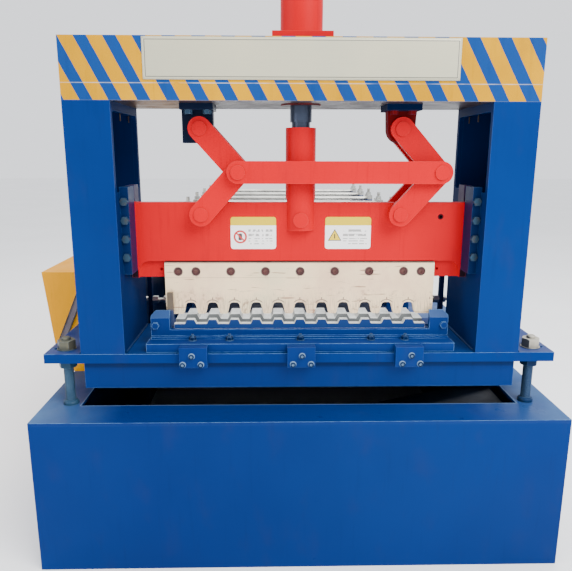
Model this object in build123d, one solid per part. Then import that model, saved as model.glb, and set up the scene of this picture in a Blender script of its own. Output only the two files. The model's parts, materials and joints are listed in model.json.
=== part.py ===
from build123d import *
import os
from math import acos, atan2, cos, degrees, radians, sin

# Exit end of a sheet roll forming machine: a long floor bed, a hydraulic portal shear
# with a toggle guided ram at its front, and six forming stations behind it.
# Millimetres. +Z up, +X to the right seen from the exit end, +Y upstream along the line.
# The origin is on the floor at the middle of the bed. Sizes along the line are written
# from the bed's front face and moved to the origin when the pieces are saved.

# Bed
bedLength = 3600
bedHeight = 543
bedOver = 32
bedSkin = 10
bedTube = 80
sleeperCount = 3
pitOver = 26
pitFront = 137
pitLength = 330
pitLedgeDrop = 40
pitLedgeDepth = 60
chuteWidth = 230
chuteThick = 4
chuteAngle = 12
chuteReach = 1060

# Portal
portalSetback = 100
portalDepth = 361
portalHeight = 1028
windowOver = 121
columnWidth = 146
windowHeight = 811
facePlate = 16
sidePlate = 16
innerPlate = 16
beamPlate = 20
bedPlateThick = 32
earReach = 124
earHoleRadius = 9
earHoleInset = 22
hangHeight = 168
lowerBeamDepth = 97
lowerBeamInset = 25
lowerBeamPlate = 25
recessFrontMargin = 4
recessTopMargin = 28
recessBottomRise = 530
recessRadius = 12
namePlateWidth = 975
namePlateHeight = 122
namePlateThick = 3
namePlateDrop = 3

# Levelling studs
studRadius = 18
studEarInset = 58
studInset = 60
studNutFlats = 55
studNutHeight = 29
studOver = 4
studTopRadius = 10
studTopNutFlats = 32
studTopNutHeight = 17
studTopLength = 30
studWasherRadius = 34
studWasherThick = 5
studFootRadius = 26
studFootHeight = 14

# Ram
ramThick = 40
ramHeight = 258
ramRise = 234
ramPlane = 150
ramSideGap = 0.5
ramFaceGap = 0.5
ramHoleRadius = 6
ramHoleDepth = 12
ramHoleInset = 100
ramHoleDrop = 48
bladeSeatDepth = 14
bladeSeatHeight = 58
bladeSeatOver = 89
bladeSeatRadius = 38
seatHoleRadius = 5
seatHoleDepth = 10
seatHoleInset = 75
seatHoleRise = 27

# Blade
bladeThick = 20
bladeWidth = 934
bladeHeight = 183.3
bladeTopGap = 4
bladeEnd = 40
bladeScrewRadius = 9
bladeScrewReach = 20
bladeScrewDrop = 32.3
bladeScrewMargin = 46
bladeScrewEnd = 61
bladeScrewSteps = 3
bladeScrewHead = 12.5
bladeScrewSunk = 2
bladeScrewSocket = 12
bladeScrewSocketDepth = 6
bladeSinkRadius = 14.5
bladeSinkDepth = 14
archTop = 30
archFoot = 50
archHeight = 41
archRadius = 12
archFlare = 7
cutSkirt = 1

# Dies and their holders
wavePitch = 76.2
dieGap = 0.5
dieInset = 29
dieRise = 58
frontDieThick = 24
frontDieHeight = 17
frontWaveHeight = 15
frontWaveCrest = 26
frontWaveFoot = 40
rearDieThick = 80
rearDieHeight = 22.5
rearWaveHeight = 17.5
rearWaveCrest = 34
rearWaveFoot = 52
holderEnd = 4
holderUpperInset = 7
holderLipDepth = 12.5
holderMidDepth = 17
holderLowDepth = 54
holderLow = 29
holderMid = 37
rearHolderInset = 20
rearHolderStep = 18
slugSlotOver = 13
slugSlotDepth = 40
endBlockGap = 13
endBlockWidth = 65
endBlockHeight = 86
endBlockThick = 21
endBlockChamfer = 16
endBlockSlopeHeight = 24
endBlockSlopeDepth = 17
endBlockBoltInset = 16
endBlockBoltRise = 36
endBlockBoltFlats = 22
endBlockBoltHead = 8
edgePlateWidth = 20
edgePlateThick = 10
edgePlateHeight = 126
edgePlateGap = 2
clampCount = 3
clampPitch = 368
clampWidth = 102
clampThick = 20
clampHeight = 76
clampOver = 25
clampBoltFlats = 19
clampBoltHead = 10
clampBoltRise = 22
clampBoltSpread = 58
clampTopBoltRise = 7

# Sheet side guides behind the portal
postSetback = 56
postShaftGap = 2
postWidth = 18
postDepth = 20
postHeight = 417
postBoltRadius = 7
postBoltDrop = 10
postBoltInner = 52
postBoltOuter = 25
postNutFlats = 28
postNutWidth = 22
postWasherRadius = 14
postWasherWidth = 9
postEndNutWidth = 8

# Guides
guideHeight = 287
guideRise = 261
keeperWidth = 28
keeperDepth = 79
rearKeeperWidth = 20
rearKeeperDepth = 60
guideBoltCount = 4
guideBoltPitch = 61
guideBoltLift = 5
guideBoltFlats = 24
guideBoltHead = 10
linerThick = 7.5

# Toggle linkage
pivotSpread = 664
pivotHigh = 733
pivotLow = 455
linkLength = 187
linkWidth = 76
linkThick = 19
linkGap = 5
tieWidth = 72
pinRadius = 16
pinFit = 0.05
pinHeadRadius = 23
pinHeadThick = 5
kneeSlack = 1.4
bossRadius = 27
seatGap = 0.3
hangerBaseWidth = 114
hangerBaseThick = 20
hangerBaseFront = 90
hangerBaseDepth = 120
hangerLugWidth = 97
hangerLugRadius = 46
hangerBoltFlats = 24
hangerBoltHead = 13
hangerBoltSpread = 60
hangerBoltInset = 18

# Cylinder
barrelRadius = 68
barrelHeight = 300
barrelCapRadius = 76
barrelCapHeight = 28
barrelFlange = 190
barrelFlangeThick = 26
barrelNeckRadius = 54
glandRadius = 66
glandThick = 4
rodRadius = 36
rodFit = 0.05
rodTopGap = 5
rodCollarRadius = 30.6
rodCollarHeight = 18
rodEndRadius = 50.5
rodEndHeight = 338
rodEndLap = 93
rodEndPinRise = 36
rodEndPinHead = 25
rodSlotRise = 12

# Forming stations
stationPitch = 400
stationFirst = 1150
stationEnd = 450
standClear = 55
standThick = 30
standDepth = 150
standHeight = 575
shaftRadius = 35
shaftOver = 35
passRise = 299
rollRadius = 79
rollLength = 1000
rollGap = 0.6
tieBarRadius = 14
tieBarDrop = 25
screwRadius = 10
screwHeight = 42
screwNutFlats = 30
screwNutHeight = 16

# Drive guard
guardFront = 470
guardEndMargin = 150
guardClear = 20
guardPlate = 10
guardTopOver = 98
guardFootOver = 62
guardTopRise = 405
guardFootRise = 55
stayWidth = 40
stayTop = 1180
stayFoot = 665

# Places that follow from the sizes
windowHalf = bladeWidth / 2 + windowOver
portalHalf = windowHalf + columnWidth
earHalf = portalHalf + earReach
studHalf = earHalf - studEarInset
bedHalf = earHalf + bedOver
pitHalf = portalHalf + pitOver
portalFront = portalSetback
portalBack = portalFront + portalDepth
innerFront = portalFront + facePlate
innerBack = portalBack - facePlate
earUnder = bedHeight + hangHeight
sillTop = earUnder + bedPlateThick
beamUnder = sillTop + windowHeight
portalTop = earUnder + portalHeight
ramMiddle = portalFront + ramPlane
ramFront = ramMiddle - ramThick / 2
ramBack = ramFront + ramThick
ramBottom = sillTop + ramRise
ramTop = ramBottom + ramHeight
linerFace = windowHalf - linerThick
ramHalf = linerFace - ramSideGap
bladeBack = ramFront + bladeSeatDepth
bladeFront = bladeBack - bladeThick
bladeTop = ramBottom + bladeSeatHeight - bladeTopGap
bladeBottom = bladeTop - bladeHeight
bladeScrewZ = bladeTop - bladeScrewDrop
bladeScrewPitch = (bladeWidth / 2 - bladeScrewMargin - bladeScrewEnd) / bladeScrewSteps
waveCount = int((bladeWidth - 2 * bladeEnd) / wavePitch)
dieWidth = bladeWidth - 2 * dieInset
dieBase = sillTop + dieRise
endBlockInner = dieWidth / 2 + endBlockGap
endBlockOuter = endBlockInner + endBlockWidth
holderHalf = endBlockOuter + holderEnd
frontDieBack = bladeFront - dieGap
frontDieFront = frontDieBack - frontDieThick
rearDieFront = bladeBack + dieGap
rearDieBack = rearDieFront + rearDieThick
guideBottom = sillTop + guideRise
guideTop = guideBottom + guideHeight
pivotHalf = pivotSpread / 2
hangerPivot = sillTop + pivotHigh
ramPivot = sillTop + pivotLow
linkAngle = acos((hangerPivot - ramPivot) / 2 / linkLength)
kneeShift = linkLength * sin(linkAngle)
kneeHeight = (hangerPivot + ramPivot) / 2
upperFront = ramFront - linkGap - linkThick
lowerFront = upperFront - linkGap - linkThick
tieFront = lowerFront - linkGap - linkThick
upperBack = ramBack + linkGap + linkThick
lowerBack = upperBack + linkGap + linkThick
rodEndTop = ramTop - rodEndLap + rodEndHeight
rodEndPinZ = ramTop - rodEndLap + rodEndPinRise
lowerShaft = bedHeight + passRise - rollRadius - rollGap / 2
upperShaft = lowerShaft + 2 * rollRadius + rollGap
standTop = bedHeight + standHeight
standHalf = rollLength / 2 + standClear + standThick / 2
shaftEnd = standHalf + standThick / 2 + shaftOver
stationCount = int((bedLength - stationFirst - stationEnd) // stationPitch) + 1
sides = {"left": -1, "right": 1}

pieces = {}


def keep(name, *solids):
    # One node: all its solids, moved so that the bed's middle is the origin.
    place = Pos(0, -bedLength / 2, 0)
    pieces[name] = Compound([place * solid for solid in flat(solids)])


def flat(shapes):
    found = []
    for shape in shapes:
        if isinstance(shape, (list, tuple)):
            found += flat(shape)
        else:
            found += shape.solids()
    return found


def block(x, y, z):
    # A box between two limits along each axis.
    centre = [(low + high) / 2 for low, high in (x, y, z)]
    return Pos(*centre) * Box(*[abs(high - low) for low, high in (x, y, z)])


def mirrored(side, low, high):
    # Limits along X on one side of the middle plane, in rising order.
    return tuple(sorted((side * low, side * high)))


def rodX(x, y, z, radius):
    return Pos((x[0] + x[1]) / 2, y, z) * Rot(0, 90, 0) * Cylinder(radius, abs(x[1] - x[0]))


def rodY(x, y, z, radius):
    return Pos(x, (y[0] + y[1]) / 2, z) * Rot(90, 0, 0) * Cylinder(radius, abs(y[1] - y[0]))


def rodZ(x, y, z, radius):
    return Pos(x, y, (z[0] + z[1]) / 2) * Cylinder(radius, abs(z[1] - z[0]))


def hexX(x, y, z, flats):
    face = Plane.YZ.offset(x[0]) * Pos(y, z) * RegularPolygon(flats / 2, 6, major_radius=False)
    return extrude(face, x[1] - x[0])


def hexY(x, y, z, flats):
    face = Plane.XZ.offset(-y[1]) * Pos(x, z) * RegularPolygon(flats / 2, 6, major_radius=False)
    return extrude(face, y[1] - y[0])


def hexZ(x, y, z, flats):
    face = Plane.XY.offset(z[0]) * Pos(x, y) * RegularPolygon(flats / 2, 6, major_radius=False)
    return extrude(face, z[1] - z[0])


def standing(sketch, y):
    # A sketch in X and Z drawn through a thickness along Y.
    return extrude(Plane.XZ.offset(-y[1]) * sketch, y[1] - y[0], dir=(0, -1, 0))


def bedPieces():
    # Four skins on a tube frame, and a top sheet that is open over the pit.
    skinSpan = (bedSkin, bedLength - bedSkin)
    under = bedHeight - bedSkin
    for name, side in sides.items():
        keep(f"bed_{name}_panel", block(mirrored(side, bedHalf - bedSkin, bedHalf), skinSpan, (0, under)))
    across = (-bedHalf, bedHalf)
    keep("bed_front_panel", block(across, (0, bedSkin), (0, under)))
    keep("bed_rear_panel", block(across, (bedLength - bedSkin, bedLength), (0, under)))
    topSheet = (under, bedHeight)
    opening = block((-pitHalf, pitHalf), (pitFront, pitFront + pitLength), topSheet)
    keep("bed_top", block(across, (0, bedLength), topSheet) - opening)
    inside = bedHalf - bedSkin
    railInside = inside - bedTube
    rails = [block(mirrored(side, railInside, inside), skinSpan, (0, bedTube)) for side in sides.values()]
    for number in range(sleeperCount):
        middle = bedLength * (number + 1) / (sleeperCount + 1)
        span = (middle - bedTube / 2, middle + bedTube / 2)
        rails.append(block((-railInside, railInside), span, (0, bedTube)))
    keep("bed_rails", rails)
    bearers = []
    for place in stationPlaces():
        span = (place - bedTube / 2, place + bedTube / 2)
        bearers.append(block((-inside, inside), span, (under - bedTube, under)))
    keep("bed_bearers", bearers)
    ledgeBack = pitFront + pitLength
    ledge = block((-inside, inside), (ledgeBack - pitLedgeDepth, ledgeBack), (under - pitLedgeDrop, under))
    keep("pit_ledge", ledge)


def stationPlaces():
    return [stationFirst + stationPitch * number for number in range(stationCount)]


def chutePiece():
    # A sheet under the blade that slopes down to the left, hung from the pit ledge.
    run = chuteReach * cos(radians(chuteAngle))
    rise = chuteReach * sin(radians(chuteAngle)) / 2 + chuteThick * cos(radians(chuteAngle)) / 2
    height = bedHeight - bedSkin - pitLedgeDrop - rise
    back = pitFront + pitLength
    centre = (pitHalf - run / 2, back - chuteWidth / 2, height)
    keep("scrap_chute", Pos(*centre) * Rot(0, -chuteAngle, 0) * Box(chuteReach, chuteWidth, chuteThick))


def portalPieces():
    # Bed plate with ears, hollow lower beam, two columns, upper beam and the bare plate on it.
    slotEdge = (slugSlotDepth - bladeThick) / 2
    slotHalf = bladeWidth / 2 + slugSlotOver
    slot = block((-slotHalf, slotHalf), (bladeFront - slotEdge, bladeBack + slotEdge), (earUnder, sillTop))
    bedPlate = block((-earHalf, earHalf), (portalFront, portalBack), (earUnder, sillTop)) - slot
    for side in sides.values():
        for place in studPlaces():
            bedPlate -= rodZ(side * studHalf, place, (earUnder, sillTop), studRadius + pinFit)
        holeX = side * (earHalf - earHoleInset)
        bedPlate -= rodZ(holeX, portalFront + studInset, (earUnder, sillTop), earHoleRadius)
    keep("portal_bed_plate", bedPlate)
    lowerZ = (earUnder - lowerBeamDepth, earUnder)
    lowerX = (-portalHalf, portalHalf)
    front = portalFront + lowerBeamInset
    back = portalBack - lowerBeamInset
    beam = block(lowerX, (front, front + lowerBeamPlate), lowerZ)
    beam += block(lowerX, (back - lowerBeamPlate, back), lowerZ)
    for side in sides.values():
        span = mirrored(side, windowHalf, windowHalf + lowerBeamPlate)
        beam += block(span, (front + lowerBeamPlate, back - lowerBeamPlate), lowerZ)
    keep("lower_beam", beam)
    for name, side in sides.items():
        columnPieces(name, side)
    beamX = (-portalHalf, portalHalf)
    beamZ = (beamUnder, portalTop)
    keep("beam_front_plate", block(beamX, (portalFront, innerFront), beamZ))
    keep("beam_rear_plate", block(beamX, (innerBack, portalBack), beamZ))
    webX = (-portalHalf + sidePlate, portalHalf - sidePlate)
    gland = rodZ(0, ramMiddle, (beamUnder, beamUnder + beamPlate), barrelNeckRadius)
    soffit = block(webX, (innerFront, innerBack), (beamUnder, beamUnder + beamPlate))
    keep("beam_bottom_plate", soffit - gland)
    seat = rodZ(0, ramMiddle, (portalTop - beamPlate, portalTop), barrelNeckRadius)
    keep("beam_top_plate", block(webX, (innerFront, innerBack), (portalTop - beamPlate, portalTop)) - seat)
    plateTop = portalTop - namePlateDrop
    namePlateX = (-namePlateWidth / 2, namePlateWidth / 2)
    keep("name_plate", block(namePlateX, (portalFront - namePlateThick, portalFront),
                             (plateTop - namePlateHeight, plateTop)))


def columnPieces(name, side):
    # A hollow column: face plates front and rear, an outer side plate and an inner
    # plate with a tall opening above the guide.
    outside = portalHalf - sidePlate
    inside = windowHalf + innerPlate
    inner = mirrored(side, windowHalf, inside)
    column = block(mirrored(side, windowHalf, portalHalf), (portalFront, portalBack), (sillTop, beamUnder))
    column -= block(mirrored(side, inside, outside), (innerFront, innerBack), (sillTop, beamUnder))
    lowZ = sillTop + recessBottomRise
    highZ = beamUnder - recessTopMargin
    deep = innerBack - innerFront - 2 * recessFrontMargin
    centre = Pos((innerFront + innerBack) / 2, (lowZ + highZ) / 2)
    hole = centre * RectangleRounded(deep, highZ - lowZ, recessRadius)
    column -= Pos(inner[0], 0, 0) * extrude(Plane.YZ * hole, innerPlate)
    column += block(mirrored(side, outside, portalHalf), (innerFront, innerBack), (beamUnder, portalTop))
    keep(f"{name}_column", column)


def studPlaces():
    return (portalFront + studInset, portalBack - studInset)


def levellingStuds():
    # Foot on the bed, stud through the ear, lock nut below, nut, washer and top nut above.
    studs = []
    footTop = bedHeight + studFootHeight
    nutLow = sillTop + studWasherThick
    nutHigh = nutLow + studNutHeight
    top = nutHigh + studOver
    for side in sides.values():
        x = side * studHalf
        for y in studPlaces():
            stud = rodZ(x, y, (footTop, top), studRadius)
            stud += rodZ(x, y, (bedHeight, footTop), studFootRadius)
            stud += hexZ(x, y, (earUnder - studNutHeight, earUnder), studNutFlats)
            stud += rodZ(x, y, (sillTop, nutLow), studWasherRadius)
            stud += hexZ(x, y, (nutLow, nutHigh), studNutFlats)
            stud += rodZ(x, y, (top, top + studTopLength), studTopRadius)
            stud += hexZ(x, y, (top, top + studTopNutHeight), studTopNutFlats)
            studs.append(stud)
    keep("levelling_studs", studs)


def guidePieces():
    # Front and rear keepers with a liner between them on each column.
    guideZ = (guideBottom, guideTop)
    keeperBack = ramFront - ramFaceGap
    keeperFront = keeperBack - keeperDepth
    middle = (guideBottom + guideTop) / 2 + guideBoltLift
    for name, side in sides.items():
        keeperX = mirrored(side, windowHalf - keeperWidth, windowHalf)
        keeper = block(keeperX, (keeperFront, keeperBack), guideZ)
        boltX = side * (windowHalf - keeperWidth / 2)
        for number in range(guideBoltCount):
            boltZ = middle + (number - (guideBoltCount - 1) / 2) * guideBoltPitch
            keeper += hexY(boltX, (keeperFront - guideBoltHead, keeperFront), boltZ, guideBoltFlats)
        keep(f"{name}_guide_keeper", keeper)
        rearX = mirrored(side, windowHalf - rearKeeperWidth, windowHalf)
        rearStart = ramBack + ramFaceGap
        liner = block(rearX, (rearStart, rearStart + rearKeeperDepth), guideZ)
        liner += block(mirrored(side, linerFace, windowHalf), (keeperBack, rearStart), guideZ)
        keep(f"{name}_guide_liner", liner)


def archCut():
    # One arch of the upper blade: a trapezoid with round top corners, open below.
    arch = Polygon((-archFoot / 2, -cutSkirt), (archFoot / 2, -cutSkirt), (archFoot / 2, 0),
                   (archTop / 2, archHeight), (-archTop / 2, archHeight), (-archFoot / 2, 0), align=None)
    corners = arch.vertices().sort_by(Axis.Y)[-2:]
    return fillet(corners, archRadius)


def bladePiece():
    # A plate with one arch per wave, round tooth tips, and sunk screws along its top.
    sketch = Pos(0, (bladeTop + bladeBottom) / 2) * Rectangle(bladeWidth, bladeHeight)
    sketch -= Pos(0, bladeBottom) * GridLocations(wavePitch, 1, waveCount, 1) * archCut()
    edge = bladeWidth / 2 - cutSkirt
    tips = [tip for tip in sketch.vertices() if tip.Y < bladeBottom + cutSkirt and abs(tip.X) < edge]
    blade = standing(fillet(tips, archFlare), (bladeFront, bladeBack))
    sinkFloor = bladeFront + bladeSinkDepth
    headFront = bladeFront + bladeScrewSunk
    screws = []
    for x in bladeScrewPlaces():
        blade -= rodY(x, (bladeFront, sinkFloor), bladeScrewZ, bladeSinkRadius)
        blade -= rodY(x, (sinkFloor, bladeBack), bladeScrewZ, bladeScrewRadius)
        screw = rodY(x, (headFront, sinkFloor), bladeScrewZ, bladeScrewHead)
        screw += rodY(x, (sinkFloor, bladeBack + bladeScrewReach), bladeScrewZ, bladeScrewRadius)
        socket = (headFront, headFront + bladeScrewSocketDepth)
        screws.append(screw - hexY(x, socket, bladeScrewZ, bladeScrewSocket))
    keep("upper_blade", blade)
    keep("blade_screws", screws)


def bladeScrewPlaces():
    inner = [bladeScrewPitch * number for number in range(-bladeScrewSteps, bladeScrewSteps + 1)]
    outer = bladeScrewSteps * bladeScrewPitch + bladeScrewEnd
    return [-outer] + inner + [outer]


def ramPiece():
    # A thick plate with a round cornered seat for the blade and holes for screws and pins.
    ram = block((-ramHalf, ramHalf), (ramFront, ramBack), (ramBottom, ramTop))
    seatHalf = bladeWidth / 2 + bladeSeatOver
    seat = Pos(0, ramBottom) * RectangleRounded(2 * seatHalf, 2 * bladeSeatHeight, bladeSeatRadius)
    ram -= standing(seat, (ramFront, bladeBack))
    for x in bladeScrewPlaces():
        ram -= rodY(x, (bladeBack, bladeBack + bladeScrewReach), bladeScrewZ, bladeScrewRadius)
    for side in sides.values():
        ram -= rodY(side * pivotHalf, (ramFront, ramBack), ramPivot, pinRadius)
        seatHoleX = side * (seatHalf - seatHoleInset)
        seatHole = (bladeBack, bladeBack + seatHoleDepth)
        ram -= rodY(seatHoleX, seatHole, ramBottom + seatHoleRise, seatHoleRadius)
    ramHole = (ramFront, ramFront + ramHoleDepth)
    ram -= rodY(ramHalf - ramHoleInset, ramHole, ramTop - ramHoleDrop, ramHoleRadius)
    ram -= rodY(0, (ramFront, ramBack), rodEndPinZ, pinRadius)
    keep("ram", ram)


def dieOutline(height, wave, crest, foot):
    # A bar with one rounded-off wave per pitch on its top edge.
    outline = Polygon((-foot / 2, -cutSkirt), (foot / 2, -cutSkirt), (foot / 2, 0), (crest / 2, wave),
                      (-crest / 2, wave), (-foot / 2, 0), align=None)
    bar = Pos(0, dieBase + height / 2) * Rectangle(dieWidth, height)
    return bar + Pos(0, dieBase + height) * GridLocations(wavePitch, 1, waveCount, 1) * outline


def diePieces():
    # Two wavy dies with the blade's slot between them, each on its stepped holder.
    front = dieOutline(frontDieHeight, frontWaveHeight, frontWaveCrest, frontWaveFoot)
    rear = dieOutline(rearDieHeight, rearWaveHeight, rearWaveCrest, rearWaveFoot)
    keep("front_die", standing(front, (frontDieFront, frontDieBack)))
    keep("rear_die", standing(rear, (rearDieFront, rearDieBack)))
    halfRear = holderHalf - rearHolderInset
    holder = block((-halfRear, halfRear), (rearDieFront, rearDieBack), (sillTop, dieBase))
    stepY = (rearDieFront, rearDieBack + rearHolderStep)
    holder += block((-halfRear, halfRear), stepY, (sillTop, sillTop + holderMid))
    keep("rear_die_holder", holder)
    lipFront = frontDieFront - holderLipDepth
    midFront = lipFront - holderMidDepth
    lowFront = midFront - holderLowDepth
    upper = holderHalf - holderUpperInset
    holder = block((-holderHalf, holderHalf), (lowFront, frontDieBack), (sillTop, sillTop + holderLow))
    holder += block((-upper, upper), (midFront, frontDieBack), (sillTop, sillTop + holderMid))
    holder += block((-upper, upper), (lipFront, frontDieBack), (sillTop, dieBase))
    for side in sides.values():
        holder += endBlock(side, lipFront)
    keep("front_die_holder", holder)
    edgePlate(lipFront + endBlockThick)
    clampPieces(lowFront)


def endBlock(side, front):
    # A stop at the die's end, sloped at its front and cut at its outer top corner.
    inner = endBlockInner
    outer = endBlockOuter
    low = sillTop + holderMid
    high = low + endBlockHeight
    face = Polygon((side * inner, low), (side * outer, low), (side * outer, high - endBlockChamfer),
                   (side * (outer - endBlockChamfer), high), (side * inner, high), align=None)
    back = front + endBlockThick
    profile = Polygon((front, low), (back, low), (back, high), (front + endBlockSlopeDepth, high),
                      (front, high - endBlockSlopeHeight), align=None)
    start = mirrored(side, inner, outer)[0]
    stop = standing(face, (front, back)) & Pos(start, 0, 0) * extrude(Plane.YZ * profile, endBlockWidth)
    boltX = side * (outer - endBlockBoltInset)
    return stop + hexY(boltX, (front - endBlockBoltHead, front), low + endBlockBoltRise, endBlockBoltFlats)


def edgePlate(front):
    # A narrow upright behind the left end block that keeps the sheet's edge in.
    high = -(dieWidth / 2 + edgePlateGap)
    keep("edge_guide", block((high - edgePlateWidth, high), (front, front + edgePlateThick),
                             (dieBase, dieBase + edgePlateHeight)))


def clampPieces(holderFront):
    # L shaped brackets over the bed plate's front edge, with their toes against the holder.
    clamps = []
    top = sillTop + clampOver
    face = portalFront - clampThick
    heads = (face - clampBoltHead, face)
    for number in range(clampCount):
        x = (number - (clampCount - 1) / 2) * clampPitch
        span = (x - clampWidth / 2, x + clampWidth / 2)
        clamp = block(span, (face, portalFront), (top - clampHeight, top))
        clamp += block(span, (portalFront, holderFront), (sillTop, top))
        clamp += hexY(x, heads, sillTop + clampTopBoltRise, clampBoltFlats)
        for edge in (-1, 1):
            boltX = x + edge * clampBoltSpread / 2
            clamp += hexY(boltX, heads, top - clampHeight + clampBoltRise, clampBoltFlats)
        clamps.append(clamp)
    keep("die_clamps", clamps)


def sideGuides():
    # An upright on each side behind the portal, with a stud and nuts at the pass line.
    middle = portalBack + postSetback + postDepth / 2
    postZ = (bedHeight, bedHeight + postHeight)
    boltZ = bedHeight + passRise - postBoltDrop
    outer = shaftEnd - postShaftGap - postBoltOuter
    inner = outer - postWidth
    posts, bolts = [], []
    for side in sides.values():
        span = mirrored(side, inner, outer)
        post = block(span, (middle - postDepth / 2, middle + postDepth / 2), postZ)
        posts.append(post - rodX(span, middle, boltZ, postBoltRadius))
        reach = mirrored(side, inner - postBoltInner, outer + postBoltOuter)
        bolt = rodX(reach, middle, boltZ, postBoltRadius)
        bolt += hexX(mirrored(side, inner - postNutWidth, inner), middle, boltZ, postNutFlats)
        bolt += rodX(mirrored(side, outer, outer + postWasherWidth), middle, boltZ, postWasherRadius)
        endNut = mirrored(side, inner - postBoltInner, inner - postBoltInner + postEndNutWidth)
        bolts.append(bolt + hexX(endNut, middle, boltZ, postNutFlats))
    keep("side_guide_posts", posts)
    keep("side_guide_bolts", bolts)


def hangerPieces():
    # Base plate under the beam with a round ended lug that carries the upper links.
    baseZ = (beamUnder - hangerBaseThick, beamUnder)
    headZ = (baseZ[0] - hangerBoltHead, baseZ[0])
    front = portalFront + hangerBaseFront
    back = front + hangerBaseDepth
    for name, side in sides.items():
        x = side * pivotHalf
        base = block((x - hangerBaseWidth / 2, x + hangerBaseWidth / 2), (front, back), baseZ)
        for across in (-1, 1):
            for boltY in (front + hangerBoltInset, back - hangerBoltInset):
                base += hexZ(x + across * hangerBoltSpread / 2, boltY, headZ, hangerBoltFlats)
        lug = Polygon((x - hangerLugWidth / 2, baseZ[0]), (x - hangerLugRadius, hangerPivot),
                      (x + hangerLugRadius, hangerPivot), (x + hangerLugWidth / 2, baseZ[0]), align=None)
        lug = lug + Pos(x, hangerPivot) * Circle(hangerLugRadius) - Pos(x, hangerPivot) * Circle(pinRadius)
        keep(f"{name}_hanger", base + standing(lug, (ramFront, ramBack)))


def obround(start, end, width):
    # A bar outline with round ends about two points.
    step = Vector(end[0] - start[0], end[1] - start[1], 0)
    middle = Pos((start[0] + end[0]) / 2, (start[1] + end[1]) / 2)
    turn = Rot(0, 0, degrees(atan2(step.Y, step.X)))
    return middle * turn * SlotCenterToCenter(step.length, width)


def linkPieces():
    # Two toggles beside each other, their knees joined by the tie bar.
    hangerPins = []
    ramPins = []
    for name, side in sides.items():
        x = side * pivotHalf
        knee = (x + kneeShift, kneeHeight)
        high = (x, hangerPivot)
        low = (x, ramPivot)
        holes = Pos(*knee) * Circle(pinRadius) + Pos(*high) * Circle(pinRadius + pinFit)
        outline = obround(high, knee, linkWidth) - holes
        upper = [standing(outline, (upperFront, upperFront + linkThick)),
                 standing(outline, (upperBack - linkThick, upperBack))]
        keep(f"{name}_upper_links", upper)
        holes = Pos(*knee) * Circle(pinRadius + kneeSlack) + Pos(*low) * Circle(pinRadius + pinFit)
        outline = obround(low, knee, linkWidth) - holes
        lower = [standing(outline, (lowerFront, lowerFront + linkThick)),
                 standing(outline, (lowerBack - linkThick, lowerBack))]
        keep(f"{name}_lower_links", lower)
        kneePin(name, knee)
        hangerPins.append(endPin(high, upperFront, upperBack))
        ramPins.append(endPin(low, lowerFront, lowerBack))
    keep("hanger_pins", hangerPins)
    keep("ram_pins", ramPins)
    left = (-pivotHalf + kneeShift, kneeHeight)
    right = (pivotHalf + kneeShift, kneeHeight)
    bar = obround(left, right, tieWidth)
    bar -= Pos(*left) * Circle(pinRadius + pinFit) + Pos(*right) * Circle(pinRadius + pinFit)
    keep("tie_bar", standing(bar, (tieFront, tieFront + linkThick)))


def kneePin(name, knee):
    # A pin with flat round heads through the links and the bar; rings keep them apart.
    x, z = knee
    front = tieFront - seatGap
    back = lowerBack + seatGap
    pin = rodY(x, (front, back), z, pinRadius)
    pin += rodY(x, (front - pinHeadThick, front), z, pinHeadRadius)
    pin += rodY(x, (back, back + pinHeadThick), z, pinHeadRadius)
    pin += rodY(x, (upperFront + linkThick, upperBack - linkThick), z, bossRadius)
    pin += rodY(x, (lowerFront + linkThick + seatGap, upperFront), z, bossRadius)
    pin += rodY(x, (tieFront + linkThick + seatGap, lowerFront - seatGap), z, bossRadius)
    pin += rodY(x, (upperBack, lowerBack - linkThick - seatGap), z, bossRadius)
    keep(f"{name}_knee_pin", pin)


def endPin(place, front, back):
    # A headed pin through a fixed plate with a link on each side of it.
    x, z = place
    pin = rodY(x, (front - seatGap, back + seatGap), z, pinRadius)
    pin += rodY(x, (front - seatGap - pinHeadThick, front - seatGap), z, pinHeadRadius)
    pin += rodY(x, (back + seatGap, back + seatGap + pinHeadThick), z, pinHeadRadius)
    pin += rodY(x, (front + linkThick + seatGap, ramFront), z, bossRadius)
    pin += rodY(x, (ramBack, back - linkThick - seatGap), z, bossRadius)
    return pin


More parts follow.
